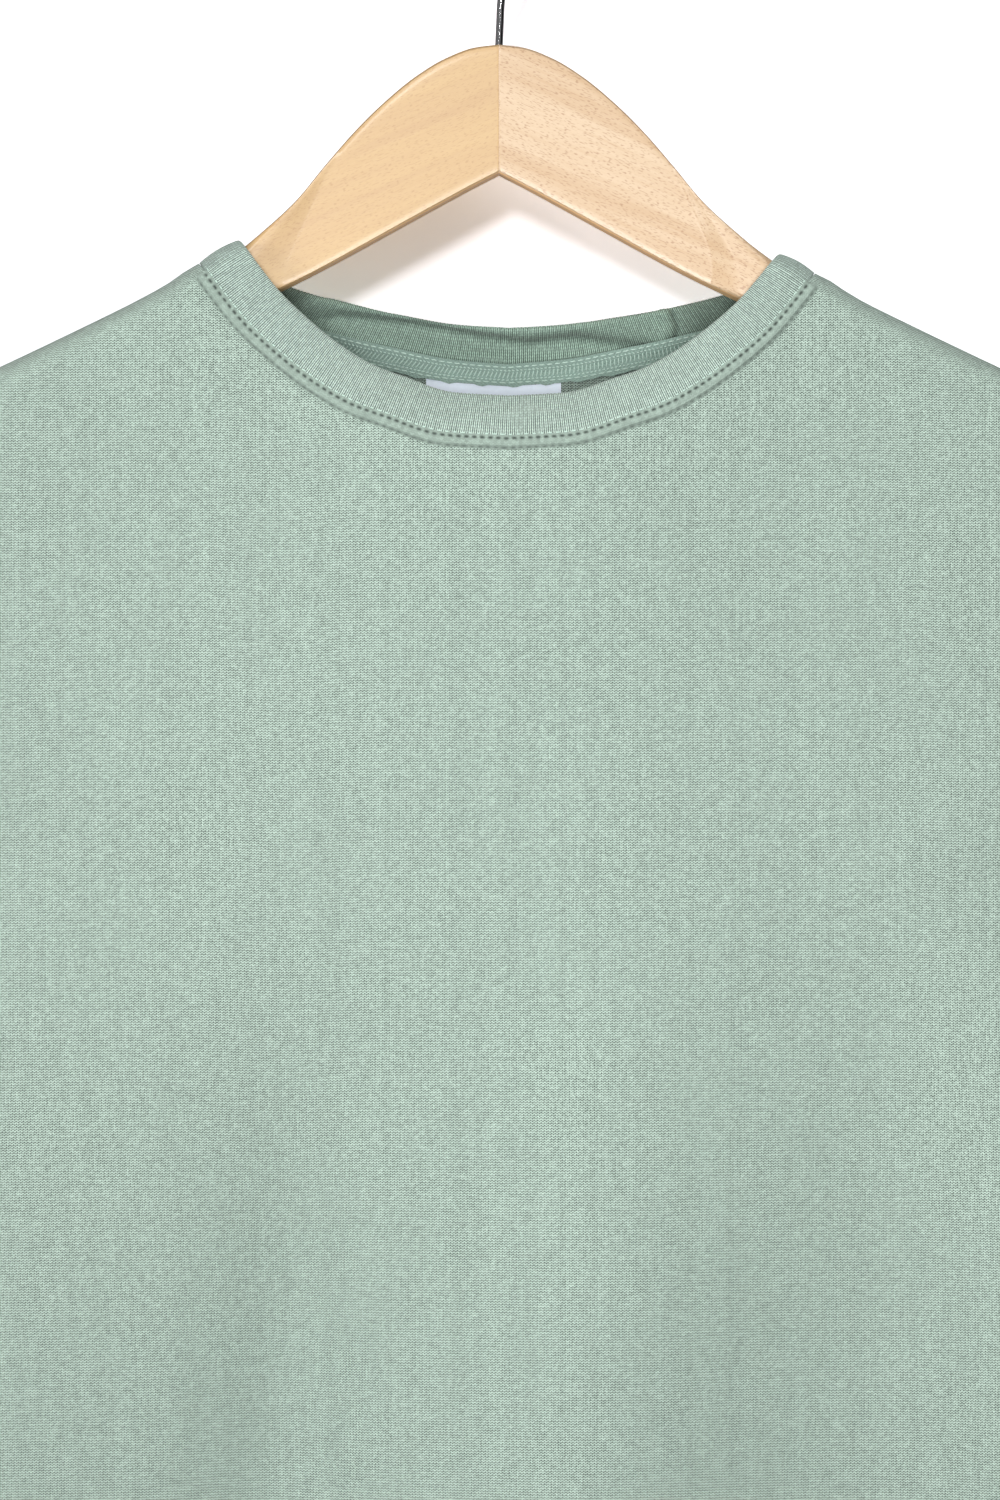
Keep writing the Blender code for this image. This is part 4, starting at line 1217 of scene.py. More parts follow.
def neckband_piece(settings):
    """The neckband: its section swept round the neck, with a rib every rib pitch.

    Each point stands out by rib depth * (sqrt(sin(pi * phase)) - 0.55) along its normal, and by a third
    of that at the seam.
    """
    seam, seam_out, fold = neckband_rings(settings)
    shares, over, depth = neckband_section()
    columns = len(seam)
    phase = np.arange(columns) / RIB_STEPS
    up = fold - seam
    height = np.linalg.norm(up, axis=1, keepdims=True)
    up = up / height
    along = np.roll(seam, -8, axis=0) - np.roll(seam, 8, axis=0)
    out = unit(np.cross(up, along))
    if np.sum(out * seam_out) < 0.0:
        out = -out
    place = shares[:, None] * (height[:, 0] - 0.5 * RIB_WALL)[None, :] + over[:, None]
    share = place / height[:, 0][None, :]
    start = np.clip(1.0 - share * 4.0, 0.0, 1.0)[..., None]
    away = unit(out[None] * (1.0 - start) + seam_out[None] * start)
    bulge = BAND_BULGE * np.sin(np.pi * np.clip(share, 0.0, 1.0))[..., None] * out[None]
    grid = seam[None] + place[..., None] * up[None] + bulge + depth[:, None, None] * away
    face = grid_normals(grid, wrap=True)
    if np.sum(face[3] * out) < 0.0:
        face = -face
    crown = np.sqrt(np.abs(np.sin(np.pi * phase)))
    from_seam = np.clip(shares * 6.0, 0.0, 1.0)
    raised = settings.rib_depth * (crown[None, :] - 0.55) * (0.35 + 0.65 * from_seam[:, None])
    # Painted shade for the back half's inner face, stored on the mesh as "shadow"
    crease, shadow = back_band_crease(grid)
    grid = grid + (raised - crease)[..., None] * face
    rows = len(grid)
    index = numbered(rows, columns, 0, wrap=True, wrap_rows=True)
    lie_rows = np.concatenate((place[:, :1].mean(axis=1), [place[-1, 0]]))
    steps = np.abs(np.diff(lie_rows)) + np.abs(np.diff(np.append(depth, 0.0)))
    walked = np.concatenate(([0.0], np.cumsum(steps)))
    u = settings.rib_pitch * np.arange(columns + 1) / RIB_STEPS
    uv = np.stack(np.broadcast_arrays(u[None, :], walked[:, None]), axis=-1)
    lie = numbered(rows + 1, columns + 1)
    vertices = grid.reshape(-1, 3)
    band = new_mesh("neckband_rib", vertices, grid_faces(index), uv, grid_faces(lie), sharp=75.0)
    shade_by(band, shadow.ravel())
    return band


def back_band_crease(grid):
    """Depth of the soft crease and the join seam inside the back neckband, and the painted shade at each
    point.

    The crease is a bell across its line, with a swell above it. The painted shade falls off slowly above
    the line and at once below it. The join is a narrower groove down the band, with a pucker beside it.
    Both are on the back half's inner face only; all of that face gets a little painted shade, and the ends
    get more.
    """
    x, z = grid[..., 0], grid[..., 2]
    inner = (np.arange(len(grid)) >= BAND_ROWS + BAND_FOLD_ROWS // 2)[:, None] & (grid[..., 1] > 0.0)
    crease_x, crease_z = np.array(BACK_CREASE).T
    join_x, join_z = np.array(BAND_JOIN)[::-1].T
    over = z - np.interp(x, crease_x, crease_z)
    beside = x - np.interp(z, join_z, join_x)
    ends = ramp(0.066 - np.abs(x), 0.010)
    join = bell(beside, JOIN_HALF)
    pucker = bell(beside + 0.0035, 0.0024)
    depth = CREASE_DEPTH * bell(over, 0.0016) - CREASE_SWELL * bell(over - 0.0045, 0.0025)
    depth = depth * ends + JOIN_DEPTH * join - JOIN_PUCKER * pucker
    fall = np.where(over > 0.0, np.exp(-np.maximum(over, 0.0) / 0.0030), bell(over, 0.0009))
    # Painted shade: dark at the crease and the join, a little over all the inner face, more towards the
    # ends
    dark = INNER_SHADE + CREASE_SHADE * fall * ends + JOIN_SHADE * join
    dark = np.minimum(dark + 0.35 * ramp(np.abs(x) - 0.056, 0.012), 0.80)
    return np.where(inner, depth, 0.0), np.where(inner, dark, 0.0)


def neck_station(across, side, offset):
    """Points and outward normals beside the neck seam; the offset goes down the panel, or up the band."""
    drop = np.maximum(offset, 0.0)
    below = neck_seam_points(across, side, drop)
    seam = neck_seam_points(across, side, np.zeros_like(across))
    up = unit(neck_fold_points(across, side) - seam)
    place = below + np.maximum(-offset, 0.0)[..., None] * up
    down = neck_seam_points(across, side, drop + 0.0008)
    ahead = neck_seam_points(np.clip(across + 0.002, -0.9999, 0.9999), side, drop)
    behind = neck_seam_points(np.clip(across - 0.002, -0.9999, 0.9999), side, drop)
    out = unit(np.cross(ahead - behind, down - below))
    out = np.where(out[..., 1:2] * side < 0.0, -out, out)
    return place, out


def seam_walk(side, reach, pitch):
    """Places along one side's neck seam at an even pitch, and their distance from its middle."""
    fine = np.linspace(-reach, reach, 4001)
    seam = neck_seam_points(fine, side, 0.0)
    length = length_along(seam)
    length = length - 0.5 * length[-1]
    count = int(length[-1] / pitch)
    stops = pitch * np.arange(-count, count + 1)
    return np.interp(stops, length, fine), stops


def coverstitch_piece(settings):
    """The flattened seam under the front neckband, as a raised strip that sinks in at its edges.

    Height over the cloth = lift + ridge * (1 + pull * cos(2 pi s)) - groove - hole, where s counts stitches
    and a hole is exp(-(length / half length)^4 - (height / half height)^2), one for each stitch.
    """
    across, stops = seam_walk(FRONT, STRIP_REACH, STRIP_PITCH)
    offset = np.linspace(STRIP_TOP, STRIP_END, STRIP_ROWS)
    wide, down = np.broadcast_arrays(across[None, :], offset[:, None])
    place, out = neck_station(wide, FRONT, down)
    ridge_up = ramp(down - RIDGE_TOP, RIDGE_RISE) * ramp(RIDGE_END - down, RIDGE_FALL)
    groove = bell(down - GROOVE_DROP, GROOVE_HALF)
    stitch = settings.stitch_length
    phase = (stops[None, :] / stitch + 0.25) % 1.0 - 0.5
    hole = np.exp(-((phase * stitch / HOLE_HALF_LENGTH) ** 4)) * bell(down - HOLE_DROP, HOLE_HALF_HEIGHT)
    wave = np.cos(2.0 * np.pi * stops[None, :] / stitch)
    edge = ramp(down - STRIP_TOP, STRIP_EDGE) * ramp(STRIP_END - down, STRIP_EDGE)
    fade = edge * ramp(STRIP_REACH - np.abs(wide), STRIP_TAPER)
    height = STRIP_LIFT + RIDGE_HEIGHT * smooth(ridge_up) * (1.0 + STITCH_PULL * wave)
    height = height - GROOVE_DEPTH * groove - HOLE_DEPTH * hole
    height = (height + STRIP_SINK) * fade - STRIP_SINK
    under = place - STRIP_WALL * out
    lie = np.stack((np.broadcast_to(stops[None, :], down.shape), -down), axis=-1)
    # Painted shade where the needle holes and the groove sink in, stored as "shadow"
    dark = np.clip(hole * 1.05 + groove * (0.60 + 0.25 * wave), 0.0, 1.0) * fade
    strip = cloth_wall("neck_coverstitch", place + height[..., None] * out, under, lie)
    shade_by(strip, np.concatenate((dark.ravel(), dark.ravel())))
    return strip


def shade_by(obj, values):
    """Store a number for each vertex: the painted shade by which the material darkens the piece."""
    layer = obj.data.attributes.new("shadow", "FLOAT", "POINT")
    layer.data.foreach_set("value", values.astype(np.float32))


def capsules(starts, ends, radius, ups, bow=0.0, name="threads"):
    """Short thread runs as one mesh: a six-sided tube from each start to its end, bowed outwards.

    The centre line is start + (end - start) * t + up * bow * 4 * t * (1 - t), and the radius tapers at
    both ends.
    """
    share = np.array((0.0, 0.12, 0.35, 0.65, 0.88, 1.0))
    width = np.array((0.25, 0.8, 1.0, 1.0, 0.8, 0.25))
    turn = 2.0 * np.pi * np.arange(6) / 6
    line = starts[:, None] + (ends - starts)[:, None] * share[None, :, None]
    line = line + ups[:, None] * (bow * 4.0 * share * (1.0 - share))[None, :, None]
    along = unit(ends - starts)
    side = unit(np.cross(along, ups))
    over = np.cross(side, along)
    ring = np.cos(turn)[None, :, None] * side[:, None] + np.sin(turn)[None, :, None] * over[:, None]
    vertices = line[:, :, None] + radius * width[None, :, None, None] * ring[:, None]
    count = len(starts)
    index = np.arange(count * 36).reshape(count, 6, 6)
    closed = np.concatenate((index, index[:, :, :1]), axis=2)
    body = quads(closed[:, :-1, :-1], closed[:, 1:, :-1], closed[:, 1:, 1:], closed[:, :-1, 1:])
    corners = [body[:, [0, 1, 2]], body[:, [0, 2, 3]]]
    for row, turned in ((0, False), (5, True)):
        for second in range(1, 5):
            fan = index[:, row][:, [0, second, second + 1]]
            corners.append(fan[:, ::-1] if turned else fan)
    corners = np.concatenate(corners)
    flat = vertices.reshape(-1, 3)
    uv = np.zeros((len(flat), 2))
    return new_mesh(name, flat, corners, uv, corners, sharp=40.0)


def front_threads(settings):
    """Needle thread on the front seam: a dash above each hole."""
    stitch = settings.stitch_length
    _, stops = seam_walk(FRONT, 0.975, stitch)
    fine_across, fine_stops = seam_walk(FRONT, STRIP_REACH, 0.0002)
    middle = stops - 0.25 * stitch
    above = np.full(len(stops), -NEEDLE_RISE)
    first, out = neck_station(np.interp(middle - NEEDLE_DASH_HALF, fine_stops, fine_across), FRONT, above)
    last, _ = neck_station(np.interp(middle + NEEDLE_DASH_HALF, fine_stops, fine_across), FRONT, above)
    lift = NEEDLE_LIFT * out
    return capsules(first + lift, last + lift, THREAD_RADIUS, out, 0.00012, "neck_seam_threads")


def tape_piece():
    """The tape over the back neck seam, between its two faces, with a slightly wavy lower edge."""
    near, far = neck_tape()
    across = np.linspace(-1.0, 1.0, near.shape[1])
    wave = 0.00030 * np.sin(across * 47.0) + 0.00020 * np.sin(across * 97.0 + 1.0) - 0.0004
    near[-1, :, 2] += wave
    far[-1, :, 2] += wave
    rise = np.linspace(0.0, 2.0, TAPE_ROWS)
    rows = []
    for grid in (far, near):
        low = np.clip(np.floor(rise).astype(int), 0, 1)
        part = (rise - low)[:, None, None]
        rows.append(grid[low] * (1.0 - part) + grid[low + 1] * part)
    length = length_along(near[1])
    v = -np.linspace(0.0, TAPE_RISE + TAPE_FALL, TAPE_ROWS)
    lie = np.stack(np.broadcast_arrays(length[None, :], v[:, None]), axis=-1)
    return cloth_wall("neck_tape_woven", rows[0], rows[1], lie)


def tape_threads():
    """Looper thread over the tape: slanting bars between two rows of short loops, and a lower row."""
    runs = []
    near, far = neck_tape()
    length = length_along(far[1])
    inward = unit(far - near)

    def on_tape(walk, height):
        row = np.clip(1.0 - height / TAPE_RISE, 0.0, 1.0) if height >= 0.0 else 1.0 - height / TAPE_FALL
        low = min(int(row), 1)
        part = row - low
        face = far[low] * (1.0 - part) + far[low + 1] * part
        out = unit(inward[low] * (1.0 - part) + inward[low + 1] * part)
        place = np.stack([np.interp(walk, length, face[:, axis]) for axis in range(3)], axis=-1)
        away = np.stack([np.interp(walk, length, out[:, axis]) for axis in range(3)], axis=-1)
        return place, unit(away)

    bars = np.arange(0.003, length[-1] - 0.003, LOOPER_PITCH)
    rows = (
        (bars, 0.0014, bars + 0.0008, -0.0014),
        (bars - 0.0004, 0.0019, bars + 0.0005, 0.0022),
        (bars + 0.0002, -0.0019, bars + 0.0011, -0.0022),
    )
    for start, high, end, low in rows:
        first, out = on_tape(start, high)
        last, _ = on_tape(end, low)
        runs.append((first + 0.0002 * out, last + 0.0002 * out, out))
    dashes = np.arange(0.003, length[-1] - 0.004, LOOPER_DASH_PITCH)
    for height in (0.0034, -0.0034):
        first, out = on_tape(dashes, height)
        last, _ = on_tape(dashes + LOOPER_DASH, height)
        runs.append((first + 0.00012 * out, last + 0.00012 * out, out))
    starts, ends, ups = (np.concatenate(parts) for parts in zip(*runs))
    return capsules(starts, ends, LOOPER_RADIUS, ups, 0.00010, "tape_threads")


def label_piece():
    """The blank label between its two faces, with a soft fold line down it near its right end."""
    near, far = label()
    x = np.linspace(LABEL_RIGHT, LABEL_LEFT, LABEL_COLUMNS)
    crease = -0.00035 * bell(x - 0.0117, 0.0006)
    sway = 0.0003 * np.sin((x - LABEL_LEFT) * 160.0)
    for grid in (near, far):
        grid[..., 1] += crease - np.abs(sway)
    lie = np.stack((far[..., 0], far[..., 2]), axis=-1)
    return cloth_wall("label_satin", far, near, lie)


def arm_piece(name, hand):
    """One wooden arm: closed sections from the mitre to the rounded end.

    The section is a superellipse, |y|^p + |z|^p = 1, between the arm's upper and lower edge, whose
    power falls from the square middle to the round arm. Its half depth is that of the flat milled middle
    up to a slanting crease, and swells beyond it as a quarter sine to the full arm.
    """
    x = np.concatenate((
        0.00002 + 0.0012 * np.linspace(0.0, 1.0, 8),
        np.linspace(0.002, 0.050, 34),
        np.linspace(0.0508, 0.092, 74),
        np.linspace(0.094, HANGER_HALF_SPAN - HANGER_END_ROUND, 60),
    ))
    end = np.linspace(0.0, 0.985, 10)[1:]
    shrink = np.concatenate((np.ones(len(x)), np.sqrt(1.0 - end**2)))
    x = np.concatenate((x, HANGER_HALF_SPAN - HANGER_END_ROUND + HANGER_END_ROUND * end))
    top = hanger_top(x)
    bottom = through(HANGER, "bottom", x)
    power = (FLAT_POWER + (ROUND_POWER - FLAT_POWER) * smooth((x - POWER_START) / POWER_RUN))[:, None]
    reach = 0.5 ** (1.0 / power)
    tall = reach * np.linspace(-1.0, 1.0, ARM_TALL_STEPS)
    deep = reach * np.linspace(-1.0, 1.0, ARM_DEEP_STEPS)[1:-1]
    tall_side = (1.0 - np.abs(tall) ** power) ** (1.0 / power)
    deep_side = (1.0 - np.abs(deep) ** power) ** (1.0 / power)
    across = np.concatenate((-tall_side, deep, tall_side, deep[:, ::-1]), axis=1)
    upward = np.concatenate((tall, deep_side, tall[:, ::-1], -deep_side), axis=1)
    full = through(ARM_SWELL, "half_depth", x)[:, None]
    crease = through(CREASE, "right" if hand == RIGHT else "left", upward)
    swell = np.sin(0.5 * np.pi * ramp(x[:, None] - crease, SWELL_RUN[hand]))
    half_depth = FLAT_HALF_DEPTH + (full - FLAT_HALF_DEPTH) * swell
    mitre = 0.00006 * bell(x, 0.00025)[:, None]
    y = (half_depth - mitre) * shrink[:, None] * across
    z = 0.5 * (top + bottom)[:, None] + 0.5 * ((top - bottom) * shrink)[:, None] * upward
    grid = points(hand * x[:, None], y, z)
    vertices, corners = capped_tube(grid, grid[[0, -1]].mean(axis=1))
    u = hand * vertices[:, 0]
    v = np.concatenate((upward.ravel(), [0.0, 0.0]))
    uv = np.stack((u, v), axis=-1)
    return new_mesh(name, vertices, corners, uv, corners, sharp=40.0)


def hook_piece():
    """The wire: circles of the wire's radius along the stem and most of a circle, with round ends."""
    angle = np.linspace(HOOK_START, HOOK_END, HOOK_STEPS)
    centre_z = WIRE_RADIUS - HOOK_RADIUS
    stem = np.linspace(HOOK_STEM["z"][0], HOOK_STEM["z"][-1], STEM_STEPS)
    stem_x = curve_through(HOOK_STEM["z"], HOOK_STEM["x"], stem)
    path_x = np.concatenate((stem_x, HOOK_RADIUS * np.cos(angle)))
    path_z = np.concatenate((stem, centre_z + HOOK_RADIUS * np.sin(angle)))
    keep = np.concatenate(([True], np.hypot(np.diff(path_x), np.diff(path_z)) > 0.0002))
    path = points(path_x[keep], 0.0, path_z[keep])
    along = unit(np.gradient(path, axis=0))
    cap = 0.5 * np.pi * np.arange(1, CAP_STEPS + 1) / CAP_STEPS
    end = path[-1] + WIRE_RADIUS * np.sin(cap)[:, None] * along[-1]
    path = np.concatenate((path, end))
    along = np.concatenate((along, np.repeat(along[-1:], CAP_STEPS, axis=0)))
    taper = np.maximum(np.cos(cap), 0.02)
    radius = WIRE_RADIUS * np.concatenate((np.ones(len(along) - CAP_STEPS), taper))
    turn = 2.0 * np.pi * np.arange(WIRE_SIDES) / WIRE_SIDES
    to_back = np.array((0.0, 1.0, 0.0))
    side = np.cross(along, to_back)
    ring = np.cos(turn)[None, :, None] * side[:, None] + np.sin(turn)[None, :, None] * to_back
    vertices, corners = capped_tube(path[:, None] + radius[:, None, None] * ring, path[[0, -1]])
    vertices = vertices - np.array((0.0, 0.0, WOOD_TOP))
    uv = np.zeros((len(vertices), 2))
    return new_mesh("hook_wire", vertices, corners, uv, corners, sharp=40.0)


def seam_material(settings):
    """The flattened seam: strands pulled flat, with painted shade where the holes and the groove sink in.
    """
    made, shader, shade = new_material("sage_seam")
    uv, wale, course = cloth_place(shade, settings.wale_pitch, settings.course_pitch)
    climb = course - abs(wale.fraction() - 0.5)
    strand = 1.0 - abs(climb.fraction() - 0.5) * 2.0
    pick = shade.chance(wale.floor(), climb.floor(), 5.0)
    melange = shade.noise(uv, 420.0, 3.0, 0.65)
    shadow = shade.node("ShaderNodeAttribute", {"attribute_name": "shadow"}, output="Fac")
    light = (0.78 + strand * 0.12) * (0.88 + pick * 0.24) * (0.80 + melange * 0.40)
    light = light * (1.0 - shadow * 0.80)
    base = shade.colour(settings.jersey_colour)
    dress(shade, shader, base.tinted(light), strand * 0.5 + melange * 0.6, 0.0003, 0.7)
    finish_cloth(shader)
    return made


def wood_material(settings, name, hand):
    """Lacquered beech with the grain along the arm.

    The pattern's place is turned so that its x runs along the arm: long soft streaks, fine lines, and
    short brown flecks where stretched noise passes a threshold. The lower edge gets painted light: a
    lighter orange that stands in for light the lamps don't give it.
    """
    made, shader, shade = new_material(name)
    coordinates = shade.node("ShaderNodeTexCoord", output="Object")
    laid = coordinates.moved(Rotation=(0.0, -hand * GRAIN_TURN, 0.0))
    long = laid.moved(Scale=(0.045, 1.0, 1.0))
    short = laid.moved(Scale=(0.19, 1.0, 1.0))
    streak = shade.noise(long, 170.0, 3.0, 0.6)
    broad = shade.noise(long, 45.0, 2.0, 0.5)
    fine = shade.noise(long, 900.0, 3.0, 0.7)
    fleck = shade.noise(short, 3300.0, 0.0, 0.5)
    sparse = shade.noise(laid, 130.0, 1.0, 0.5)
    tint = (1.11, 1.23, 1.72) if hand == RIGHT else (1.0, 1.0, 1.0)
    light = shade.colour([value * part for value, part in zip(settings.wood_light, tint)])
    dark = shade.colour(settings.wood_dark)
    fleck_tint = shade.colour(settings.wood_fleck)
    uv = shade.node("ShaderNodeUVMap", {"uv_map": "lie"})
    height = shade.node("ShaderNodeSeparateXYZ", None, {"Vector": uv}).output("Y")
    amount = streak.rise(0.35, 0.70) * 0.45 + broad.rise(0.35, 0.7) * 0.30 + fine.rise(0.40, 0.75) * 0.18
    dashes = fleck.rise(0.61, 0.70) * sparse.rise(0.10, 0.35) * (0.52 if hand == RIGHT else 0.26)
    colour = light.mixed(dark, amount)
    colour = colour.mixed(fleck_tint, dashes)
    # Painted light: the arms' lower edge turns a lighter orange, where the lamps leave it dark
    under = shade.colour(settings.wood_under_painted_light)
    colour = colour.mixed(under, height.rise(-0.97, -0.995))
    relief = fine * 0.5 + streak * 0.5 - dashes * 0.4
    dress(shade, shader, colour, relief, 0.0002, 0.5)
    plug(shade, fine * 0.12 + 0.40, shader.inputs["Roughness"])
    shader.inputs["Coat Weight"].default_value = 0.30
    shader.inputs["Coat Roughness"].default_value = 0.20
    shader.inputs["Coat IOR"].default_value = 1.45
    return made


def chrome_material():
    """Polished wire with faint drawing marks along it."""
    made, shader, shade = new_material("chromed_wire")
    coordinates = shade.node("ShaderNodeTexCoord", output="Object")
    marks = shade.noise(coordinates, 900.0, 2.0, 0.6)
    shader.inputs["Base Color"].default_value = (0.78, 0.78, 0.80, 1.0)
    shader.inputs["Metallic"].default_value = 1.0
    plug(shade, marks * 0.06 + 0.05, shader.inputs["Roughness"])
    plug(shade, bumped(shade, marks, 0.00003, 0.4), shader.inputs["Normal"])
    return made


def tape_material(settings):
    """Woven tape in the garment's colour: a plain weave of fine threads and a few pale fibres."""
    made, shader, shade = new_material("sage_tape")
    uv, warp, weft = cloth_place(shade, 0.0006, 0.0006)
    over = (warp * math.pi).maths("SINE") * (weft * math.pi).maths("SINE")
    grain = shade.noise(uv, 1200.0, 2.0, 0.6)
    light = 0.90 + over * 0.10
    light = light * (0.80 + grain * 0.40)
    base = shade.colour(settings.tape_colour)
    dress(shade, shader, base.tinted(light), over + grain, 0.0002, 0.6)
    finish_cloth(shader)
    return made


def label_material():
    """White satin label: a fine lengthwise weave and a soft bluish white."""
    made, shader, shade = new_material("white_satin")
    uv, warp, _ = cloth_place(shade, 0.0003, 0.0008)
    over = (warp * math.pi * 2.0).maths("SINE")
    grain = shade.noise(uv, 900.0, 2.0, 0.6)
    base = shade.colour((0.80, 0.88, 0.98))
    dress(shade, shader, base.tinted(0.94 + over * 0.02 + grain * 0.08), over * 0.5 + grain, 0.0001, 0.6)
    shader.inputs["Roughness"].default_value = 0.55
    return made


def thread_material(settings):
    """Sewing thread a shade lighter than the jersey."""
    made, shader, shade = new_material("sage_thread")
    coordinates = shade.node("ShaderNodeTexCoord", output="Object")
    grain = shade.noise(coordinates, 2500.0, 2.0, 0.6)
    base = shade.colour(settings.thread_colour)
    dress(shade, shader, base.tinted(0.80 + grain * 0.40), grain, 0.0001, 0.6)
    finish_cloth(shader)
    return made


def stage_material(name, colour, see_through_back):
    """A plain painted surface with a very faint grain; a backdrop isn't seen from behind."""
    made, shader, shade = new_material(name)
    coordinates = shade.node("ShaderNodeTexCoord", output="Object")
    grain = shade.noise(coordinates, 120.0, 2.0, 0.5)
    base = shade.colour(colour)
    plug(shade, base.tinted(0.99 + grain * 0.02), shader.inputs["Base Color"])
    shader.inputs["Roughness"].default_value = 1.0
    shader.inputs["Specular IOR Level"].default_value = 0.0
    if see_through_back:
        tree = made.node_tree
        back = tree.nodes.new("ShaderNodeNewGeometry").outputs["Backfacing"]
        clear = tree.nodes.new("ShaderNodeBsdfTransparent")
        choose = tree.nodes.new("ShaderNodeMixShader")
        tree.links.new(back, choose.inputs[0])
        more = tree.nodes.new("ShaderNodeBsdfDiffuse")
        more.inputs["Color"].default_value = (1.36, 1.31, 1.43, 1.0)
        shader.inputs["Emission Color"].default_value = (1.0, 1.0, 1.0, 1.0)
        shader.inputs["Emission Strength"].default_value = 0.08
        both = tree.nodes.new("ShaderNodeAddShader")
        tree.links.new(shader.outputs[0], both.inputs[0])
        tree.links.new(more.outputs[0], both.inputs[1])
        tree.links.new(both.outputs[0], choose.inputs[1])
        tree.links.new(clear.outputs[0], choose.inputs[2])
        tree.links.new(choose.outputs[0], tree.nodes["Material Output"].inputs["Surface"])
    return made


def stage_plane(name, corners, material):
    """A flat rectangle of the stage from its four corners."""
    mesh = bpy.data.meshes.new(name)
    mesh.from_pydata(corners, [], [(0, 1, 2, 3)])
    mesh.materials.append(material)
    obj = bpy.data.objects.new(name, mesh)
    bpy.context.scene.collection.objects.link(obj)
    return obj


def area_light(name, place, target, size, power):
    """A square soft light at a place, facing a target."""
    data = bpy.data.lights.new(name, "AREA")
    data.shape = "SQUARE"
    data.size = size
    data.energy = power
    obj = bpy.data.objects.new(name, data)
    bpy.context.scene.collection.objects.link(obj)
    obj.location = place
    aim = Vector(target) - Vector(place)
    obj.rotation_euler = aim.to_track_quat("-Z", "Y").to_euler()
    return obj


def keep_off(light, backdrop):
    """Keep a light and its shadows off the backdrop, as a flag does in a studio."""
    flagged = bpy.data.collections.new(light.name + "_flag")
    flagged.objects.link(backdrop)
    flagged.collection_objects[0].light_linking.link_state = "EXCLUDE"
    light.light_linking.receiver_collection = flagged


class ClothSettings(bpy.types.PropertyGroup):
    """Colours and stitch sizes of the garment."""

    jersey_colour: FloatVectorProperty(
        name="Jersey colour", description="Colour of the jersey's raised stitches", subtype="COLOR",
        size=3, min=0.0, max=1.0, default=(0.280, 0.355, 0.307))
    rib_colour: FloatVectorProperty(
        name="Rib colour", description="Colour of the rib on neckband, cuffs and hem", subtype="COLOR",
        size=3, min=0.0, max=1.0, default=(0.249, 0.314, 0.277))
    tape_colour: FloatVectorProperty(
        name="Tape colour", description="Colour of the tape over the back neck seam", subtype="COLOR",
        size=3, min=0.0, max=1.0, default=(0.275, 0.385, 0.332))
    thread_colour: FloatVectorProperty(
        name="Thread colour", description="Colour of the sewing thread", subtype="COLOR",
        size=3, min=0.0, max=1.0, default=(0.430, 0.560, 0.495))
    wale_pitch: FloatProperty(
        name="Wale pitch", description="Width of one column of stitches in the jersey", unit="LENGTH",
        min=0.0005, max=0.003, default=0.00118, precision=5)
    course_pitch: FloatProperty(
        name="Course pitch", description="Height of one row of stitches", unit="LENGTH",
        min=0.0004, max=0.003, default=0.00087, precision=5)
    rib_pitch: FloatProperty(
        name="Rib pitch", description="Width of one rib of the 1x1 rib", unit="LENGTH",
        min=0.0006, max=0.004, default=0.00142, precision=5)
    rib_depth: FloatProperty(
        name="Rib depth", description="How far the neckband's ribs stand out", unit="LENGTH",
        min=0.0, max=0.001, default=0.00016, precision=5)
    stitch_length: FloatProperty(
        name="Stitch length", description="Distance between the neck seam's needle holes", unit="LENGTH",
        min=0.001, max=0.006, default=0.00265, precision=5)


class HangerSettings(bpy.types.PropertyGroup):
    """Colours of the wood, and the painted light on the arms' lower edge."""

    wood_light: FloatVectorProperty(
        name="Light wood", description="Colour of the beech between its streaks", subtype="COLOR",
        size=3, min=0.0, max=1.0, default=(0.472, 0.318, 0.150))
    wood_dark: FloatVectorProperty(
        name="Dark wood", description="Colour of the beech in its streaks", subtype="COLOR",
        size=3, min=0.0, max=1.0, default=(0.400, 0.250, 0.125))
    # Painted light on the arms' lower edge: a lighter orange than the lamps give it
    wood_under_painted_light: FloatVectorProperty(
        name="Lower edge painted light", description="Colour of the arms' lower edge", subtype="COLOR",
        size=3, min=0.0, max=1.0, default=(0.760, 0.440, 0.190))
    wood_fleck: FloatVectorProperty(
        name="Flecks", description="Colour of the short flecks", subtype="COLOR",
        size=3, min=0.0, max=1.0, default=(0.230, 0.100, 0.034))


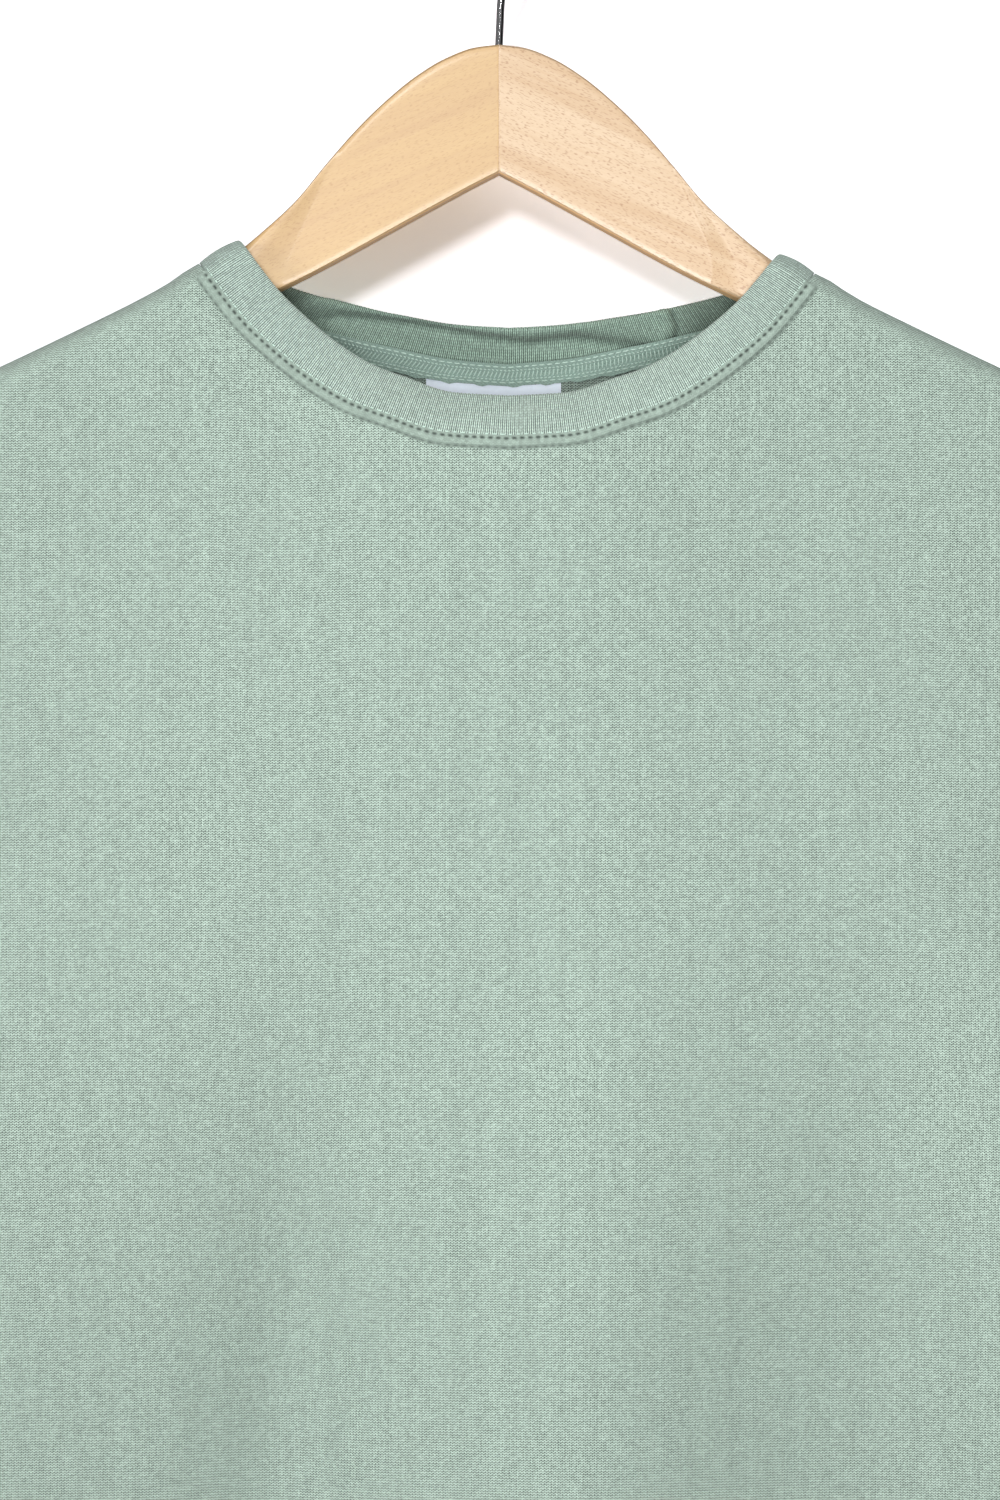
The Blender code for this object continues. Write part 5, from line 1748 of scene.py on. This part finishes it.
class StageSettings(bpy.types.PropertyGroup):
    """Camera and light."""

    camera_distance: FloatProperty(
        name="Camera distance", description="From the hanger's plane to the camera", unit="LENGTH",
        min=0.5, max=10.0, default=2.0)
    lens: FloatProperty(
        name="Lens", description="Focal length for a 36 mm high picture, in millimetres",
        min=20.0, max=400.0, default=142.9)
    key_power: FloatProperty(
        name="Key light", description="Power of the small light above the camera, in watts",
        min=0.0, max=5000.0, default=14.5)
    side_power: FloatProperty(
        name="Side light", description="Power of the broad soft light at the left, in watts",
        min=0.0, max=5000.0, default=22.5)
    front_power: FloatProperty(
        name="Front light", description="Power of the soft light close in front of the chest, in watts",
        min=0.0, max=5000.0, default=6.4)
    back_power: FloatProperty(
        name="Back light", description="Power of the broad soft light on the garment's back, in watts",
        min=0.0, max=5000.0, default=30.0)
    top_power: FloatProperty(
        name="Top light", description="Power of the broad soft light overhead, in watts",
        min=0.0, max=5000.0, default=13.0)
    rim_power: FloatProperty(
        name="Top right light", description="Power of the small light on the wood's edges, in watts",
        min=0.0, max=5000.0, default=9.0)
    fill_strength: FloatProperty(
        name="Surroundings", description="Brightness of the white surroundings",
        min=0.0, max=10.0, default=0.16)
    wall_distance: FloatProperty(
        name="Wall distance", description="From the hanger's plane to the wall behind it", unit="LENGTH",
        min=0.03, max=2.0, default=0.0345)
    floor_height: FloatProperty(
        name="Floor height", description="Height of the floor, measured from the hook's inner top",
        unit="LENGTH", min=-3.0, max=-0.9, default=-1.15)


class GARMENT_OT_panels(bpy.types.Operator):
    """Front and back of jersey."""

    bl_idname = "garment.panels"
    bl_label = "Front and back"

    def execute(self, context):
        settings = context.scene.garment_cloth
        material = jersey_material(settings)
        for name, node, side in (("front_jersey", "front", FRONT), ("back_jersey", "back", BACK)):
            obj = panel_piece(name, side)
            finish_piece(obj, material, "jersey", node)
        return {"FINISHED"}


class GARMENT_OT_sleeves(bpy.types.Operator):
    """Both sleeves of jersey."""

    bl_idname = "garment.sleeves"
    bl_label = "Sleeves"

    def execute(self, context):
        material = bpy.data.materials["sage_jersey"]
        for word, hand in (("left", LEFT), ("right", RIGHT)):
            grid, normals = sleeve(hand)
            obj = tube_piece("sleeve_%s_jersey" % word, grid, normals, WALL)
            finish_piece(obj, material, "jersey", "sleeve_" + word)
        return {"FINISHED"}


class GARMENT_OT_cuffs(bpy.types.Operator):
    """Both cuffs of 1x1 rib."""

    bl_idname = "garment.cuffs"
    bl_label = "Cuffs"

    def execute(self, context):
        material = rib_material(context.scene.garment_cloth, "sage_rib_trim", False)
        for word, hand in (("left", LEFT), ("right", RIGHT)):
            grid, normals = cuff(hand)
            obj = tube_piece("cuff_%s_rib" % word, grid, normals, RIB_WALL)
            finish_piece(obj, material, "rib", "cuff_" + word)
        return {"FINISHED"}


class GARMENT_OT_hem_band(bpy.types.Operator):
    """The hem band of 1x1 rib."""

    bl_idname = "garment.hem_band"
    bl_label = "Hem band"

    def execute(self, context):
        grid, normals = hem_band()
        obj = tube_piece("hem_band_rib", grid, normals, RIB_WALL)
        finish_piece(obj, bpy.data.materials["sage_rib_trim"], "rib", "hem_band")
        return {"FINISHED"}


class GARMENT_OT_neckband(bpy.types.Operator):
    """The neckband with its ribs in the mesh."""

    bl_idname = "garment.neckband"
    bl_label = "Neckband"

    def execute(self, context):
        settings = context.scene.garment_cloth
        obj = neckband_piece(settings)
        finish_piece(obj, rib_material(settings, "sage_rib_neck", True), "rib", "neckband")
        return {"FINISHED"}


class GARMENT_OT_neck_seam(bpy.types.Operator):
    """The flattened seam below the front neckband and its needle thread."""

    bl_idname = "garment.neck_seam"
    bl_label = "Neck seam"

    def execute(self, context):
        settings = context.scene.garment_cloth
        finish_piece(coverstitch_piece(settings), seam_material(settings), "jersey")
        finish_piece(front_threads(settings), thread_material(settings), "jersey")
        return {"FINISHED"}


class GARMENT_OT_neck_inside(bpy.types.Operator):
    """What shows inside the neck: the tape, its looper thread and the blank label."""

    bl_idname = "garment.neck_inside"
    bl_label = "Tape and label"

    def execute(self, context):
        settings = context.scene.garment_cloth
        tape = tape_piece()
        finish_piece(tape, tape_material(settings), "tape", "neck_tape")
        finish_piece(tape_threads(), bpy.data.materials["sage_thread"], "tape")
        blank = label_piece()
        finish_piece(blank, label_material(), "label", "label")
        return {"FINISHED"}


class GARMENT_OT_hanger(bpy.types.Operator):
    """The two wooden arms."""

    bl_idname = "garment.hanger"
    bl_label = "Hanger"

    def execute(self, context):
        settings = context.scene.garment_hanger
        for word, hand in (("left", LEFT), ("right", RIGHT)):
            obj = arm_piece("arm_%s_beech" % word, hand)
            finish_piece(obj, wood_material(settings, "beech_" + word, hand), "wood", "hanger_arm_" + word)
        return {"FINISHED"}


class GARMENT_OT_hook(bpy.types.Operator):
    """The chromed wire hook."""

    bl_idname = "garment.hook"
    bl_label = "Hook"

    def execute(self, context):
        finish_piece(hook_piece(), chrome_material(), "chrome", "hook")
        return {"FINISHED"}


class GARMENT_OT_stage(bpy.types.Operator):
    """Floor, wall, light and camera."""

    bl_idname = "garment.stage"
    bl_label = "Stage"

    def execute(self, context):
        settings = context.scene.garment_stage
        low = settings.floor_height
        far = settings.wall_distance
        ground = stage_plane("floor", [(-3, -3, low), (3, -3, low), (3, 3, low), (-3, 3, low)],
                             stage_material("pale_floor", (0.80, 0.80, 0.80), False))
        ground.visible_diffuse = False
        wall = stage_plane("wall", [(-1.6, far, low), (1.6, far, low), (1.6, far, 1.4), (-1.6, far, 1.4)],
                           stage_material("white_wall", (0.90, 0.90, 0.90), True))
        wall.visible_diffuse = False
        wall.visible_glossy = False
        wall.visible_transmission = False
        wall.visible_shadow = False
        for number, corners in enumerate((
                [(0.62, 0.10, -0.6), (0.62, -0.75, -0.6), (0.62, -0.75, 0.5), (0.62, 0.10, 0.5)],
                [(-0.70, 0.45, -0.6), (-0.45, 0.75, -0.6), (-0.45, 0.75, 0.5), (-0.70, 0.45, 0.5)])):
            black = stage_material("dark_card", (0.01, 0.01, 0.01), False)
            card = stage_plane("dark_card_%d" % number, corners, black)
            card.visible_camera = False
            card.visible_diffuse = False
            card.visible_shadow = False
            card.visible_transmission = False
        area_light("key", (-0.30, -2.20, 0.44), (0.0, 0.0, -0.20), 0.30, settings.key_power)
        for name, place, target_z, size, power in (
                ("side", (-1.80, -1.00, -0.50), -0.40, 0.9, settings.side_power),
                ("front", (0.0, -0.80, -0.33), -0.35, 0.3, settings.front_power),
                ("top", (0.30, -0.55, 1.45), -0.15, 1.0, settings.top_power),
                ("back", (0.5, 2.00, -0.10), -0.40, 1.2, settings.back_power)):
            light = area_light(name, place, (0.0, 0.0, target_z), size, power)
            light.visible_glossy = name != "back"
            keep_off(light, wall)
        area_light("rim", (1.1, -1.0, 1.2), (0.0, 0.0, -0.15), 0.5, settings.rim_power)
        world = bpy.data.worlds.new("white_surroundings")
        world.use_nodes = True
        background = world.node_tree.nodes["Background"]
        background.inputs["Color"].default_value = (1.0, 1.0, 1.0, 1.0)
        background.inputs["Strength"].default_value = settings.fill_strength
        context.scene.world = world
        context.scene.view_settings.view_transform = "Standard"
        data = bpy.data.cameras.new("camera")
        data.sensor_fit = "VERTICAL"
        data.sensor_height = 36.0
        data.lens = settings.lens
        camera = bpy.data.objects.new("camera", data)
        context.scene.collection.objects.link(camera)
        camera.location = (CAMERA_X, -settings.camera_distance, CAMERA_Z)
        camera.rotation_euler = (math.radians(90.0), 0.0, 0.0)
        context.scene.camera = camera
        return {"FINISHED"}


PIECE_OPERATORS = (
    GARMENT_OT_hanger,
    GARMENT_OT_hook,
    GARMENT_OT_panels,
    GARMENT_OT_sleeves,
    GARMENT_OT_cuffs,
    GARMENT_OT_hem_band,
    GARMENT_OT_neckband,
    GARMENT_OT_neck_seam,
    GARMENT_OT_neck_inside,
    GARMENT_OT_stage,
)


class GARMENT_PT_sidebar(bpy.types.Panel):
    """Lists the settings and the pieces."""

    bl_idname = "GARMENT_PT_sidebar"
    bl_label = "Sweatshirt"
    bl_space_type = "VIEW_3D"
    bl_region_type = "UI"
    bl_category = "Sweatshirt"

    def draw(self, context):
        scene = context.scene
        for holder in (scene.garment_cloth, scene.garment_hanger, scene.garment_stage):
            for name in holder.__annotations__:
                self.layout.prop(holder, name)
        for operator in PIECE_OPERATORS:
            self.layout.operator(operator.bl_idname)


CLASSES = (ClothSettings, HangerSettings, StageSettings) + PIECE_OPERATORS + (GARMENT_PT_sidebar,)


def register():
    """Register the classes and hang the settings on the scene."""
    for made in CLASSES:
        bpy.utils.register_class(made)
    bpy.types.Scene.garment_cloth = PointerProperty(type=ClothSettings)
    bpy.types.Scene.garment_hanger = PointerProperty(type=HangerSettings)
    bpy.types.Scene.garment_stage = PointerProperty(type=StageSettings)


def unregister():
    """Undo register."""
    del bpy.types.Scene.garment_cloth
    del bpy.types.Scene.garment_hanger
    del bpy.types.Scene.garment_stage
    for made in reversed(CLASSES):
        bpy.utils.unregister_class(made)


def main():
    register()
    for operator in PIECE_OPERATORS:
        group, name = operator.bl_idname.split(".")
        getattr(getattr(bpy.ops, group), name)()


if __name__ == "__main__":
    main()
